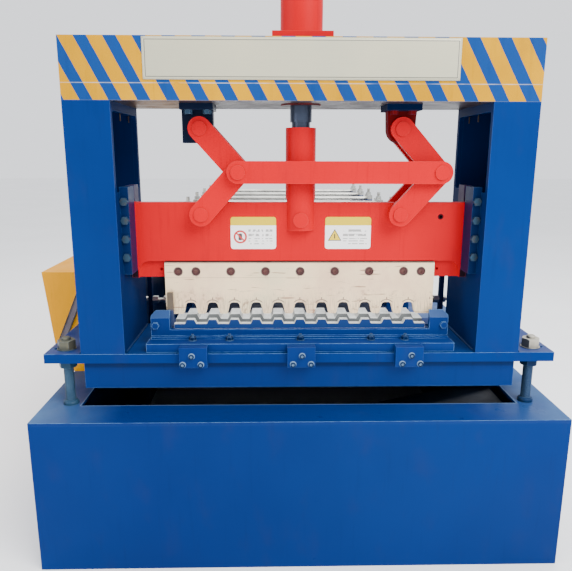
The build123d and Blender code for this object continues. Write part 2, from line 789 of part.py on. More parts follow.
def cylinderPieces():
    # Barrel with its flange on the beam, and the rod with its slotted round end on the ram.
    top = portalTop + barrelHeight
    barrel = rodZ(0, ramMiddle, (portalTop, top), barrelRadius)
    barrel += rodZ(0, ramMiddle, (top - barrelCapHeight, top), barrelCapRadius)
    half = barrelFlange / 2
    flangeZ = (portalTop, portalTop + barrelFlangeThick)
    barrel += block((-half, half), (ramMiddle - half, ramMiddle + half), flangeZ)
    barrel += rodZ(0, ramMiddle, (beamUnder, portalTop), barrelNeckRadius)
    barrel += rodZ(0, ramMiddle, (beamUnder - glandThick, beamUnder), glandRadius)
    rodTop = portalTop + barrelHeight / 2
    barrel -= rodZ(0, ramMiddle, (beamUnder - glandThick, rodTop + rodTopGap), rodRadius + rodFit)
    keep("cylinder_barrel", barrel)
    rod = rodZ(0, ramMiddle, (rodEndTop + rodCollarHeight, rodTop), rodRadius)
    rod += rodZ(0, ramMiddle, (rodEndTop, rodEndTop + rodCollarHeight), rodCollarRadius)
    keep("cylinder_rod", rod)
    low = ramTop - rodEndLap
    front = ramMiddle - rodEndRadius
    back = ramMiddle + rodEndRadius
    end = rodZ(0, ramMiddle, (low, rodEndTop), rodEndRadius)
    end -= block((-rodEndRadius, rodEndRadius), (ramFront, ramBack), (low, ramTop + rodSlotRise))
    end -= rodY(0, (front, back), rodEndPinZ, pinRadius)
    keep("rod_end", end)
    pin = rodY(0, (front, back), rodEndPinZ, pinRadius)
    pin += rodY(0, (front - pinHeadThick, front), rodEndPinZ, rodEndPinHead)
    pin += rodY(0, (back, back + pinHeadThick), rodEndPinZ, rodEndPinHead)
    keep("rod_end_pin", pin)


def stationPieces():
    # Each station: a stand on each side, two shafts with their rolls, a tie bar and screws.
    stands = {"left": [], "right": []}
    lowerShafts, upperShafts, lowerRolls, upperRolls, bars = [], [], [], [], []
    outer = standHalf + standThick / 2
    barZ = standTop - tieBarDrop
    rollX = (-rollLength / 2, rollLength / 2)
    for y in stationPlaces():
        for name, side in sides.items():
            span = mirrored(side, outer - standThick, outer)
            stand = block(span, (y - standDepth / 2, y + standDepth / 2), (bedHeight, standTop))
            for shaft in (lowerShaft, upperShaft):
                stand -= rodX(span, y, shaft, shaftRadius)
            stand -= rodX(span, y, barZ, tieBarRadius)
            x = side * standHalf
            stand += rodZ(x, y, (standTop, standTop + screwHeight), screwRadius)
            stand += hexZ(x, y, (standTop, standTop + screwNutHeight), screwNutFlats)
            stands[name].append(stand)
        lowerShafts.append(rodX((-shaftEnd, shaftEnd), y, lowerShaft, shaftRadius))
        upperShafts.append(rodX((-shaftEnd, shaftEnd), y, upperShaft, shaftRadius))
        for rolls, z in ((lowerRolls, lowerShaft), (upperRolls, upperShaft)):
            rolls.append(rodX(rollX, y, z, rollRadius) - rodX(rollX, y, z, shaftRadius))
        bars.append(rodX((-outer, outer), y, barZ, tieBarRadius))
    for name in sides:
        keep(f"{name}_stands", stands[name])
    keep("lower_shafts", lowerShafts)
    keep("upper_shafts", upperShafts)
    keep("lower_rolls", lowerRolls)
    keep("upper_rolls", upperRolls)
    keep("stand_tie_bars", bars)


def guardPieces():
    # Closed sheet guard over the drive on the left, its inner plate, and its stay to the portal.
    topX = -(bedHalf + guardTopOver)
    footX = -(bedHalf + guardFootOver)
    plateX = -(shaftEnd + guardClear)
    innerX = plateX - guardPlate
    high = bedHeight + guardTopRise
    span = (guardFront, bedLength - guardEndMargin)
    outline = Polygon((innerX, bedHeight), (-bedHalf, bedHeight), (footX, bedHeight + guardFootRise),
                      (topX, high), (innerX, high), align=None)
    keep("drive_guard", standing(outline, span))
    keep("guard_back_plate", block((innerX, plateX), span, (bedHeight, high)))
    stayHigh = (-portalHalf + stayWidth / 2, stayTop)
    stayLow = (footX + stayWidth / 2, stayFoot)
    keep("guard_stay", standing(obround(stayLow, stayHigh, stayWidth), (portalBack, guardFront)))


bedPieces()
chutePiece()
portalPieces()
levellingStuds()
guidePieces()
ramPiece()
bladePiece()
diePieces()
sideGuides()
hangerPieces()
linkPieces()
cylinderPieces()
stationPieces()
guardPieces()

os.makedirs("parts", exist_ok=True)
for node, shape in pieces.items():
    export_step(shape, f"parts/{node}.step")
    print(node, len(shape.solids()), round(shape.volume / 1e6, 2))
print(len(pieces), "nodes")
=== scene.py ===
import json
import math

import bmesh
import bpy
import numpy as np
from mathutils import Euler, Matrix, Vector


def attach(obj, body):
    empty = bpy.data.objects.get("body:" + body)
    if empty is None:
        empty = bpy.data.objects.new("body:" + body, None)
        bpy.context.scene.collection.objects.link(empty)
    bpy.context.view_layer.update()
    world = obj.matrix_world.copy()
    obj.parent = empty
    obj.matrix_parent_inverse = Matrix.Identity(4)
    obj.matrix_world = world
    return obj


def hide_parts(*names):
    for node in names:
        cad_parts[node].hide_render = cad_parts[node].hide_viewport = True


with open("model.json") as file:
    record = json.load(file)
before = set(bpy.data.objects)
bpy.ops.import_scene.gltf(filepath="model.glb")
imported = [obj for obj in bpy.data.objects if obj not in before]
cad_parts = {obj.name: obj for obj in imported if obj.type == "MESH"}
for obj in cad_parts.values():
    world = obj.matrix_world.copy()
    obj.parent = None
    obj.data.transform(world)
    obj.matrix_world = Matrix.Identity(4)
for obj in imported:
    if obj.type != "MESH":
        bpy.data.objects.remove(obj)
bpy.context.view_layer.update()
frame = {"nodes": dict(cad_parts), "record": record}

mm = 0.001

# Camera solved from the photo: place and turns in the row frame, focal length in pixels of the photo.
cameraView = {
    "place": (-0.0909, -3.5700, 1.3981),
    "pitch": 12.7016,
    "yaw": 1.2105,
    "roll": -0.1311,
    "focalPixels": 587.1255,
    "photoWidth": 572,
}

lights = {
    "key": {"place": (2.6, -4.6, 4.6), "aim": (0, -1.5, 0.9), "size": 3.6, "power": 470},
    "fill": {"place": (-4.2, -3.2, 2.6), "aim": (0, -1.5, 0.9), "size": 3.2, "power": 90},
    "top": {"place": (0.3, 0.6, 5.2), "aim": (0, 0, 0.5), "size": 4.5, "power": 230},
    "skyColour": (0.93, 0.95, 1.0), "skyPower": 1.55,
    "floorHalf": 30, "floorColours": ((0.94, 0.94, 0.94), (0.90, 0.90, 0.90)),
}

colours = {
    "black": (0.0, 0.0, 0.0),
    "blue": (0.0, 0.016, 0.112),
    "blueLight": (0.0, 0.028, 0.165),
    "blueEdge": (0.07, 0.20, 0.42),
    "navy": (0.002, 0.010, 0.045),
    "nightBlue": (0.002, 0.005, 0.016),
    "gapBlue": (0.001, 0.008, 0.030),
    "keeperBlue": (0.001, 0.012, 0.062),
    "red": (0.53, 0.0, 0.006),
    "redLight": (0.62, 0.002, 0.010),
    "redEdge": (0.62, 0.06, 0.05),
    "paleEdge": (0.16, 0.36, 0.62),
    "yellow": (0.80, 0.34, 0.0),
    "yellowEdge": (0.80, 0.42, 0.05),
    "stripeYellow": (0.60, 0.29, 0.0),
    "stripeBlue": (0.008, 0.05, 0.21),
    "grime": (0.035, 0.03, 0.03),
    "dust": (0.30, 0.29, 0.28),
    "greyBlue": (0.12, 0.12, 0.17),
}
blues = (colours["blueLight"], colours["blue"])
reds = (colours["redLight"], colours["red"])


# Shader helpers

begun = []


def newMaterial(name):
    # Begins a material: the helpers below add their nodes to it until the next one is begun.
    material = bpy.data.materials.new(name)
    material.use_nodes = True
    begun.append(material.node_tree)
    return material, material.node_tree.nodes["Principled BSDF"]


def feed(node, inputs):
    # Links each socket that is given; a constant is set on the input itself.
    for key, value in inputs.items():
        if isinstance(value, bpy.types.NodeSocket):
            node.id_data.links.new(value, node.inputs[key])
        else:
            node.inputs[key].default_value = value


def addNode(kind, inputs=None, **settings):
    made = begun[-1].nodes.new("ShaderNode" + kind)
    for key, value in settings.items():
        setattr(made, key, value)
    feed(made, inputs or {})
    return made


def noise(scale, detail=3.0, rough=0.5, stretch=(1, 1, 1), turn=(0, 0, 0)):
    place = addNode("TexCoord").outputs["Object"]
    coords = addNode("Mapping", {"Vector": place, "Scale": stretch, "Rotation": turn}).outputs[0]
    inputs = {"Vector": coords, "Scale": scale, "Detail": detail, "Roughness": rough}
    return addNode("TexNoise", inputs).outputs["Fac"]


def spread(value, low, high, toLow=0.0, toHigh=1.0):
    inputs = {"Value": value, "From Min": low, "From Max": high, "To Min": toLow, "To Max": toHigh}
    return addNode("MapRange", inputs).outputs["Result"]


def maths(operation, *values):
    return addNode("Math", dict(enumerate(values)), operation=operation).outputs[0]


def times(first, *others):
    for other in others:
        first = maths("MULTIPLY", first, other)
    return first


def minus(first, second):
    return maths("SUBTRACT", first, second)


def plus(first, second):
    return maths("ADD", first, second)


def sizeOf(value):
    return maths("ABSOLUTE", value)


def larger(first, second):
    return maths("MAXIMUM", first, second)


def smaller(first, second):
    return maths("MINIMUM", first, second)


def under(value, limit):
    # 1 where a value is less than a limit, with a hard step.
    return maths("LESS_THAN", value, limit)


def over(base, colour, *masks):
    # One colour laid over another by the product of the masks.
    sides = [(*side, 1.0) if isinstance(side, tuple) else side for side in (base, colour)]
    inputs = {0: times(*masks), 6: sides[0], 7: sides[1]}
    return addNode("Mix", inputs, data_type="RGBA").outputs[2]


def cloud(low, high, colour=None, amount=None, **shape):
    # Noise with the part between two levels stretched from 0 to 1. A layer's colour and amount play no part.
    return spread(noise(**shape), low, high)


def layer(base, look, *masks):
    # A layer's colour over the base by its noise, the masks given and its amount.
    return over(base, look["colour"], cloud(**look), *masks, look["amount"])


def roughFrom(scale, low, high, detail=4.0):
    # Roughness that drifts between two values.
    return spread(noise(scale, detail), 0.2, 0.8, low, high)


def bumpFrom(height, strength, distance):
    return addNode("Bump", {"Height": height, "Strength": strength, "Distance": distance}).outputs[0]


def edgeMask(radius, low=0.02, high=0.25):
    # How far the rounded normal turns away from the flat one: 1 - dot(rounded, flat).
    rounded = addNode("Bevel", {"Radius": radius}, samples=4).outputs[0]
    flat = addNode("NewGeometry").outputs["Normal"]
    agree = addNode("VectorMath", {0: rounded, 1: flat}, operation="DOT_PRODUCT").outputs["Value"]
    return spread(minus(1.0, agree), low, high)


def facing(axis, low, high):
    # 0 where the normal's share along an axis is at the first value and 1 at the second.
    normal = addNode("NewGeometry").outputs["Normal"]
    return spread(addNode("SeparateXYZ", {"Vector": normal}).outputs[axis], low, high)


def upMask(low=0.7, high=0.95):
    return facing("Z", low, high)


def axisOf(axis):
    # One coordinate of the piece's own space, in metres.
    place = addNode("TexCoord").outputs["Object"]
    return addNode("SeparateXYZ", {"Vector": place}).outputs[axis]


def above(axis, limit, soft=0.0006):
    # 0 below a limit along an axis and 1 above it.
    return spread(axisOf(axis), limit - soft, limit + soft)


def within(value, limit, soft=0.0006):
    # 1 below a limit and 0 above it.
    return spread(value, limit - soft, limit + soft, 1.0, 0.0)


def below(axis, limit, soft=0.0006):
    return within(axisOf(axis), limit, soft)


def near(value, middle, half, soft=0.0006):
    # 1 within half of a middle value on either side.
    return within(sizeOf(minus(value, middle)), half, soft)


def beyond(limit, soft=0.0006):
    # 1 farther than a limit from the middle plane on either side.
    return spread(sizeOf(axisOf("X")), limit - soft, limit + soft)


def farFrom(first, second):
    # Length of a pair of offsets.
    return maths("SQRT", plus(times(first, first), times(second, second)))


def ringAt(far, radius, half):
    # 1 within half of a radius, fading to 0 over the same distance outside it.
    return spread(sizeOf(minus(far, radius)), half, 2 * half, 1.0, 0.0)


def mottled(light, dark, scale=0.8):
    return over(dark, light, cloud(scale=scale, low=0.3, high=0.7))


def bluePaint():
    return mottled(*blues)


# Paint and metals. A layer's noise has a scale, detail and stretch, and runs from its low to its high level.

paintLook = {
    "patches": dict(colour=colours["black"], amount=0.18, scale=1.7, detail=4.0, low=0.30, high=0.70),
    "smears": dict(colour=colours["grime"], amount=0.16, scale=7.0, detail=5.0, rough=0.6,
                   stretch=(1.6, 1.6, 0.7), low=0.55, high=0.80),
    "runs": dict(colour=colours["black"], amount=0.14, scale=26.0, detail=4.0, rough=0.6,
                 stretch=(2.2, 2.2, 0.16), low=0.56, high=0.78),
    "wornAndLit": dict(scale=24.0, detail=4.0, low=0.26, high=0.50),
    "dusty": dict(scale=9.0, detail=5.0, low=0.25, high=0.80),
    "edgeRadius": 0.0032, "glossScale": 14.0, "smoother": 0.07, "rougher": 0.13, "dustRough": 0.3,
    "peelScale": 260.0, "peelAmount": 0.10, "waveScale": 5.0, "bump": (0.12, 0.004),
}


def paintLayers(shader, base, edge, wear=0.7, dust=0.07, gloss=0.34, level=0.07):
    # Paint: broad tone changes, grime in patches, dust on what faces up, pale edges that are partly worn
    # paint and partly a painted highlight, fine orange peel.
    look = paintLook
    for key in ("patches", "smears", "runs"):
        base = layer(base, look[key])
    # Pale edges: worn paint in patches, with a painted highlight along them.
    wornAndLit = times(edgeMask(look["edgeRadius"]), cloud(**look["wornAndLit"]))
    base = over(base, edge, wornAndLit, wear)
    dusty = times(upMask(), cloud(**look["dusty"]))
    base = over(base, colours["dust"], dusty, dust)
    rough = roughFrom(look["glossScale"], gloss - look["smoother"], gloss + look["rougher"])
    peel = times(noise(look["peelScale"], 2.0), look["peelAmount"])
    height = plus(peel, noise(look["waveScale"], 2.0))
    feed(shader, {"Base Color": base, "Roughness": plus(rough, times(dusty, look["dustRough"])),
                  "Specular IOR Level": level, "Normal": bumpFrom(height, *look["bump"])})


def paintMaterial(name, light, dark, edge, **layers):
    material, shader = newMaterial(name)
    paintLayers(shader, mottled(light, dark), edge, **layers)
    return material


def partedMaterial(name, height, low, high, edge, **layers):
    # Two paints on one piece, parted at a height.
    material, shader = newMaterial(name)
    paintLayers(shader, over(low, high, above("Z", height)), edge, **layers)
    return material


bareSpots = dict(colour=(0.10, 0.08, 0.06), amount=0.6, scale=60.0, detail=5.0, low=0.45, high=0.70)


def bareFromMaterial(name, bareWhere, axis, limit, paint, metal, edge):
    # Paint on one side of a limit along an axis and spotted bare metal where bareWhere is 1.
    material, shader = newMaterial(name)
    bare = bareWhere(axis, limit)
    paintLayers(shader, over(paint, layer(metal, bareSpots), bare), edge)
    feed(shader, {"Metallic": times(bare, 0.75)})
    return material


def metalMaterial(name, light, dark, rough=0.3, scratch=(1, 1, 1), stain=None, stainAmount=0.3, metallic=1.0):
    # Mottled metal with fine scratches drawn out along one way and, where given, stains.
    material, shader = newMaterial(name)
    base = mottled(light, dark, 7.0)
    lines = noise(60.0, stretch=scratch)
    base = over(base, dark, spread(lines, 0.4, 0.7), 0.18)
    if stain:
        spots = cloud(scale=16.0, detail=6.0, rough=0.62, low=0.56, high=0.72)
        base = over(base, stain, spots, stainAmount)
    feed(shader, {"Base Color": base, "Metallic": metallic,
                  "Roughness": roughFrom(22.0, rough - 0.08, rough + 0.15),
                  "Normal": bumpFrom(lines, 0.12, 0.002)})
    return material


columnShade = {"innerX": 0.588, "startY": -1.6985, "amount": 0.96, "specular": (0.07, 0.02),
               "roughness": (0.36, 0.75)}


def columnMaterial(name, side):
    # Blue outside; the faces towards the window are darkened with painted shade.
    material, shader = newMaterial(name)
    inward = within(times(axisOf("X"), side), columnShade["innerX"], 0.0015)
    dark = times(inward, above("Y", columnShade["startY"], 0.001))
    base = over(bluePaint(), colours["nightBlue"], dark, columnShade["amount"])
    paintLayers(shader, base, colours["blueEdge"], wear=0.28)
    feed(shader, {"Specular IOR Level": spread(dark, 0.0, 1.0, *columnShade["specular"]),
                  "Roughness": spread(dark, 0.0, 1.0, *columnShade["roughness"])})
    return material


stripes = {
    "period": 0.0909, "share": 0.546, "slope": 0.539, "bend": 0.0363, "start": 0.0031, "wobble": 0.002,
    "faded": (0.50, 0.235, 0.0), "underside": 1.5546,
    "creaseHeight": 1.6045, "creaseHalf": 0.0012, "creaseHighlightColour": (0.55, 0.58, 0.60), "creaseAmount": 0.55,
}


def stripedMaterial(name):
    # Slanting stripes: yellow where the fraction of (x - bend x^2 + slope z - start) / period is under share.
    material, shader = newMaterial(name)
    x, z = axisOf("X"), axisOf("Z")
    along = plus(minus(x, times(x, x, stripes["bend"])), times(z, stripes["slope"]))
    wobble = times(minus(noise(45.0, 2.0), 0.5), stripes["wobble"])
    turns = maths("DIVIDE", minus(plus(along, wobble), stripes["start"]), stripes["period"])
    inside = under(maths("FRACT", turns), stripes["share"])
    base = over(colours["stripeBlue"], mottled(colours["stripeYellow"], stripes["faded"], 5.0), inside)
    # Painted reflection and shade: the underside below the band is grey-blue.
    base = over(base, colours["greyBlue"], within(z, stripes["underside"], 0.0003))
    # Painted highlight along the bend of the front plate.
    creaseHighlight = times(near(z, stripes["creaseHeight"], stripes["creaseHalf"]),
                   cloud(scale=12.0, low=0.35, high=0.60))
    base = over(base, stripes["creaseHighlightColour"], creaseHighlight, stripes["creaseAmount"])
    paintLayers(shader, base, colours["blueEdge"], wear=0.25, gloss=0.3, level=0.03)
    return material


ramShade = {
    "holeX": 0.480, "holeZ": 1.187, "holeRadius": 0.0095, "cornerX": 0.5585, "cornerZ": 1.006,
    "gapLow": 1.0308, "gapHigh": 1.0362, "gapY": -1.5697, "gapHalf": 0.468, "dark": (0.012, 0.004, 0.010),
}


def ramMaterial(name):
    # Red plate with painted shade in its small hole, at its lower corners outside the seat and in the gap
    # above the blade.
    material, shader = newMaterial(name)
    x, z = axisOf("X"), axisOf("Z")
    far = farFrom(minus(x, ramShade["holeX"]), minus(z, ramShade["holeZ"]))
    hole = within(far, ramShade["holeRadius"])
    corners = times(beyond(ramShade["cornerX"]), below("Z", ramShade["cornerZ"], 0.004))
    gap = times(above("Z", ramShade["gapLow"]), below("Z", ramShade["gapHigh"]),
                above("Y", ramShade["gapY"]), near(x, 0.0, ramShade["gapHalf"]))
    base = over(mottled(*reds), ramShade["dark"], larger(larger(hole, corners), gap))
    paintLayers(shader, base, colours["redEdge"], wear=0.35, dust=0.05)
    return material


screwLook = {"light": (0.10, 0.028, 0.026), "dark": (0.045, 0.014, 0.014), "socket": (0.17, 0.07, 0.055),
             "socketY": -1.5695}


def screwMaterial(name):
    # Browned socket screws with a painted highlight on the socket floor.
    material, shader = newMaterial(name)
    base = mottled(screwLook["light"], screwLook["dark"], 60.0)
    base = over(base, screwLook["socket"], above("Y", screwLook["socketY"]))
    feed(shader, {"Base Color": base, "Metallic": 0.3, "Roughness": roughFrom(70.0, 0.35, 0.55, 3.0),
                  "Normal": bumpFrom(noise(150.0), 0.15, 0.001)})
    return material


bedPlateLook = {
    "insideX": 0.59, "insideAmount": 0.35, "insideColour": (0.0, 0.022, 0.075), "earX": 0.735, "edgeZ": 0.735,
    "ears": dict(colour=(0.13, 0.14, 0.20), amount=0.55, scale=14.0, detail=5.0, low=0.20, high=0.70),
}


def bedPlateMaterial(name):
    # Blue plate: painted shade on its top inside the window, greyer on the ears' tops, pale along its upper
    # edges with worn paint and a painted highlight.
    look = bedPlateLook
    material, shader = newMaterial(name)
    upward = upMask()
    # Painted shade on the upward faces inside the window.
    inside = near(axisOf("X"), 0.0, look["insideX"])
    base = over(bluePaint(), look["insideColour"], inside, upward, look["insideAmount"])
    base = layer(base, look["ears"], beyond(look["earX"]), upward)
    # Painted highlight: the pale edge colour goes on the upper edges only.
    edge = over(colours["blueLight"], colours["paleEdge"], above("Z", look["edgeZ"], 0.002))
    paintLayers(shader, base, edge, wear=0.8, dust=0.0, level=0.05)
    return material


bedTopLook = {
    "shadeFront": (-1.42, -1.33), "shadeRear": (1.45, 1.20), "shadeSide": (0.62, 0.52), "shadeAmount": 0.9,
    "paleFrom": 0.60, "paleTo": 0.93, "paleAmount": 0.6, "paleColour": (0.10, 0.22, 0.36),
    "pitX": 0.760, "pitY": -1.498, "pitHalf": 0.165, "rimHalf": 0.004, "rimAmount": 0.5,
    "rimColour": (0.14, 0.22, 0.36), "edgeZ": 0.5405, "edgeColour": (0.16, 0.34, 0.56),
}


def bedTopMaterial(name):
    # Glossy blue sheet: painted shade under the rolls, painted reflection on its ends, lighter along the
    # pit's rim.
    look = bedTopLook
    material, shader = newMaterial(name)
    away, y = sizeOf(axisOf("X")), axisOf("Y")
    # Painted shade under the rolls.
    rollShade = times(spread(y, *look["shadeFront"]), spread(y, *look["shadeRear"]),
                 spread(away, *look["shadeSide"]))
    base = over(bluePaint(), colours["nightBlue"], rollShade, look["shadeAmount"])
    # Painted reflection on the upward faces towards the ends.
    patches = spread(noise(5.0, 4.0), 0.25, 0.75, 0.4, 1.0)
    ends = spread(away, look["paleFrom"], look["paleTo"])
    base = over(base, look["paleColour"], ends, patches, upMask(), look["paleAmount"])
    # Distance outside the pit's rectangle: the larger of the two overhangs.
    along = minus(sizeOf(minus(y, look["pitY"])), look["pitHalf"])
    rim = near(larger(minus(away, look["pitX"]), along), 0.0, look["rimHalf"], 0.002)
    base = over(base, look["rimColour"], rim, upMask(), look["rimAmount"])
    # Painted highlight: the pale edge colour goes on the upper edges only.
    edge = over(colours["blueLight"], look["edgeColour"], above("Z", look["edgeZ"], 0.001))
    paintLayers(shader, base, edge, wear=0.8, dust=0.0, gloss=0.22, level=0.10)
    return material


beamShade = {"from": 0.6835, "to": 0.6895, "amount": 0.38}


def lowerBeamMaterial(name):
    # Blue paint with a painted shadow in the gap under the bed plate.
    material, shader = newMaterial(name)
    shade = spread(axisOf("Z"), beamShade["from"], beamShade["to"])
    base = over(bluePaint(), colours["gapBlue"], shade, beamShade["amount"])
    paintLayers(shader, base, colours["blueEdge"])
    return material


guideLook = {
    "paintTop": 0.866, "metal": (0.10, 0.075, 0.05), "foot": (0.004, 0.02, 0.08),
    "spots": dict(colour=(0.09, 0.06, 0.05), amount=0.5, scale=40.0, detail=5.0, low=0.4, high=0.7),
}


def guideMaterial(name):
    # Dull spotted metal whose foot is painted over.
    material, shader = newMaterial(name)
    clean = above("Z", guideLook["paintTop"], 0.004)
    spots = cloud(**guideLook["spots"])
    metal = layer(guideLook["metal"], guideLook["spots"])
    feed(shader, {"Base Color": over(guideLook["foot"], metal, clean), "Metallic": times(clean, 0.35),
                  "Roughness": spread(spots, 0.0, 1.0, 0.4, 0.6),
                  "Normal": bumpFrom(spots, 0.12, 0.001)})
    return material


bladeMarks = {
    # Millimetres: screw rows and arches repeat along the blade.
    "screwPitch": 120.0, "screwReach": 390.0, "screwEnd": 421.0, "screwHeight": 998.7, "sinkRadius": 16.0,
    "topLine": 1028.0, "archPitch": 76.2, "archReach": 425.0, "arcLow": 886.0, "arcHeight": 872.0,
    "arcRadius": 25.5, "arcHalf": 1.2, "tickLow": 899.0, "tickHigh": 906.0, "tickHalf": 1.6,
    "bandHeight": 977.0, "bandHalf": 0.9, "bandFade": (120.0, -160.0), "dripHalf": 13.0,
    "dripFade": (966.0, 984.0), "teethFade": (935.0, 865.0), "speckFade": (960.0, 880.0),
}
bladeLook = {
    "light": (1.0, 0.77, 0.47), "dark": (0.90, 0.67, 0.40), "mark": (0.16, 0.10, 0.09),
    "band": (0.35, 0.18, 0.10), "sink": (0.09, 0.028, 0.025), "top": (0.10, 0.03, 0.025),
    "edge": (1.0, 0.96, 0.88),
    "rust": dict(colour=(0.72, 0.42, 0.30), amount=0.55, scale=6.0, detail=6.0, rough=0.65,
                 low=0.48, high=0.70),
    "green": dict(colour=(0.60, 0.60, 0.38), amount=0.40, scale=4.0, stretch=(1, 1, 2), low=0.52, high=0.68),
    "grinding": dict(colour=(0.24, 0.16, 0.13), amount=0.9, scale=60.0, detail=4.0, rough=0.6,
                     stretch=(9, 9, 0.35), low=0.46, high=0.68),
    "specks": dict(colour=(0.22, 0.10, 0.07), amount=0.75, scale=48.0, detail=5.0, rough=0.65,
                   low=0.58, high=0.70),
    "scratches": dict(colour=(0.34, 0.18, 0.11), amount=0.8, scale=2.0, stretch=(5.0, 5.0, 60.0),
                      turn=(0.0, math.radians(-9), 0.0), low=0.63, high=0.68),
    "drips": dict(colour=(0.40, 0.20, 0.16), amount=0.5, scale=50.0, detail=4.0, stretch=(3, 3, 0.8),
                  low=0.42, high=0.62),
}


def repeated(x, pitch):
    # The offset from the nearest of the places that lie a pitch apart about the middle.
    return maths("WRAP", x, pitch / 2, -pitch / 2)


def bladeMaterial(name):
    # Pale ground steel: rusty clouds, pink and brown stains, upright grinding lines near the teeth, scribed
    # arcs and centre marks over the arches, counterbores browned and darkened by painted shade, a faint line
    # where the ram's edge rests, painted shade along the top and a painted highlight on the edges.
    marks, look = bladeMarks, bladeLook
    material, shader = newMaterial(name)
    x, z = [times(axisOf(axis), 1 / mm) for axis in ("X", "Z")]
    away = sizeOf(x)
    base = mottled(look["light"], look["dark"], 5.0)
    base = layer(base, look["rust"])
    base = layer(base, look["green"])
    base = layer(base, look["grinding"], spread(z, *marks["teethFade"]))
    base = layer(base, look["specks"], spread(z, *marks["speckFade"]))
    base = layer(base, look["scratches"])
    band = times(near(z, marks["bandHeight"], marks["bandHalf"], 0.6), spread(x, *marks["bandFade"]))
    base = over(base, look["band"], band, 0.5)
    archX = repeated(x, marks["archPitch"])
    arcs = ringAt(farFrom(archX, minus(z, marks["arcHeight"])), marks["arcRadius"], marks["arcHalf"])
    arcs = times(arcs, spread(z, marks["arcLow"], marks["arcLow"] + 4),
                 within(away, marks["archReach"], 1.0))
    tick = times(near(archX, 0.0, marks["tickHalf"], 0.8),
                 spread(z, marks["tickLow"] - 1, marks["tickLow"]),
                 spread(z, marks["tickHigh"], marks["tickHigh"] + 1, 1.0, 0.0))
    base = over(base, look["mark"], larger(times(arcs, 0.8), times(tick, 0.95)))
    screwX = repeated(x, marks["screwPitch"])
    offZ = minus(z, marks["screwHeight"])
    reach = within(away, marks["screwReach"])
    inRow = times(within(farFrom(screwX, offZ), marks["sinkRadius"], 0.7), reach)
    last = within(farFrom(minus(away, marks["screwEnd"]), offZ), marks["sinkRadius"], 0.7)
    base = layer(base, look["drips"], near(screwX, 0.0, marks["dripHalf"], 3.0), reach,
                 spread(z, *marks["dripFade"]), below("Z", marks["screwHeight"] * mm))
    base = over(base, look["sink"], larger(inRow, last))
    # Painted shade along the blade's top, under the ram's seat.
    base = over(base, look["top"], spread(z, marks["topLine"] - 0.6, marks["topLine"]), 0.85)
    # Painted highlight along the blade's edges.
    base = over(base, look["edge"], edgeMask(0.0022), 0.5)
    feed(shader, {"Base Color": base, "Metallic": 0.25, "Roughness": roughFrom(22.0, 0.34, 0.52),
                  "Normal": bumpFrom(cloud(**look["grinding"]), 0.10, 0.002)})
    return material


dieLook = {
    "light": (0.88, 0.90, 0.86), "dark": (0.60, 0.63, 0.60), "edge": (0.95, 0.95, 0.92), "edgeAmount": 0.8,
    "fine": dict(colour=(0.30, 0.29, 0.27), amount=0.35, scale=70.0, detail=4.0, rough=0.6,
                 stretch=(4, 0.5, 1), low=0.50, high=0.72),
    "rubbedAndLit": dict(scale=30.0, low=0.25, high=0.50),
}


def dieMaterial(name, front, foot):
    # Bare on the tops; the front colour goes on the front and below the foot's height, as paint on the front
    # die and as painted shade on the rear die; edges rubbed bright, with a painted highlight on them.
    material, shader = newMaterial(name)
    silver = layer(mottled(dieLook["light"], dieLook["dark"], 22.0), dieLook["fine"])
    coatOrShade = larger(facing("Y", -0.5, -0.75), below("Z", foot))
    base = over(silver, front, coatOrShade)
    base = over(base, dieLook["edge"], edgeMask(0.0020), cloud(**dieLook["rubbedAndLit"]),
                dieLook["edgeAmount"])
    feed(shader, {"Base Color": base, "Metallic": times(minus(1.0, coatOrShade), 0.6),
                  "Roughness": roughFrom(30.0, 0.30, 0.46), "Specular IOR Level": 0.15,
                  "Normal": bumpFrom(noise(120.0, 2.0), 0.08, 0.002)})
    return material


namePlate = {
    "x": (-483.5, 476.5), "z": (1614.0, 1736.0), "front": 97.15, "back": 100.0, "lift": 0.14,
    "waves": (37, 23, 17), "columns": 97, "rows": 13, "light": (0.52, 0.49, 0.34), "dark": (0.43, 0.42, 0.31),
    "brushed": dict(colour=(0.30, 0.29, 0.22), amount=0.10, scale=90.0, detail=2.0, stretch=(0.3, 1, 9),
                    low=0.4, high=0.7),
    "lineInset": 0.0085, "lineHalf": 0.0012, "lineColour": (0.05, 0.05, 0.06), "lineAmount": 0.8,
}


def plateMaterial(name):
    # A bare brushed plate with a thin dark line set in from its edge.
    look = namePlate
    material, shader = newMaterial(name)
    base = layer(mottled(look["light"], look["dark"], 3.0), look["brushed"])
    # Distance in from the plate's nearest side.
    insets = []
    for axis, (low, high) in (("X", look["x"]), ("Z", look["z"])):
        insets.append(smaller(minus(axisOf(axis), low * mm), minus(high * mm, axisOf(axis))))
    line = maths("COMPARE", smaller(*insets), look["lineInset"], look["lineHalf"])
    feed(shader, {"Base Color": over(base, look["lineColour"], line, look["lineAmount"]), "Metallic": 0.15,
                  "Roughness": 0.42, "Normal": bumpFrom(cloud(**look["brushed"]), 0.06, 0.001)})
    return material


holderLook = {"slopeZ": 0.812, "endX": 0.435, "slopeColour": (0.05, 0.11, 0.24), "amount": 0.5}


def holderMaterial(name):
    # Blue die holder: greyer on its sloped ends, pale along every edge with rubbed paint and a painted
    # highlight.
    material, shader = newMaterial(name)
    slopes = times(upMask(0.4, 0.5), beyond(holderLook["endX"]), above("Z", holderLook["slopeZ"], 0.004))
    base = over(bluePaint(), holderLook["slopeColour"], slopes, holderLook["amount"])
    paintLayers(shader, base, colours["paleEdge"], wear=1.0, dust=0.02)
    return material


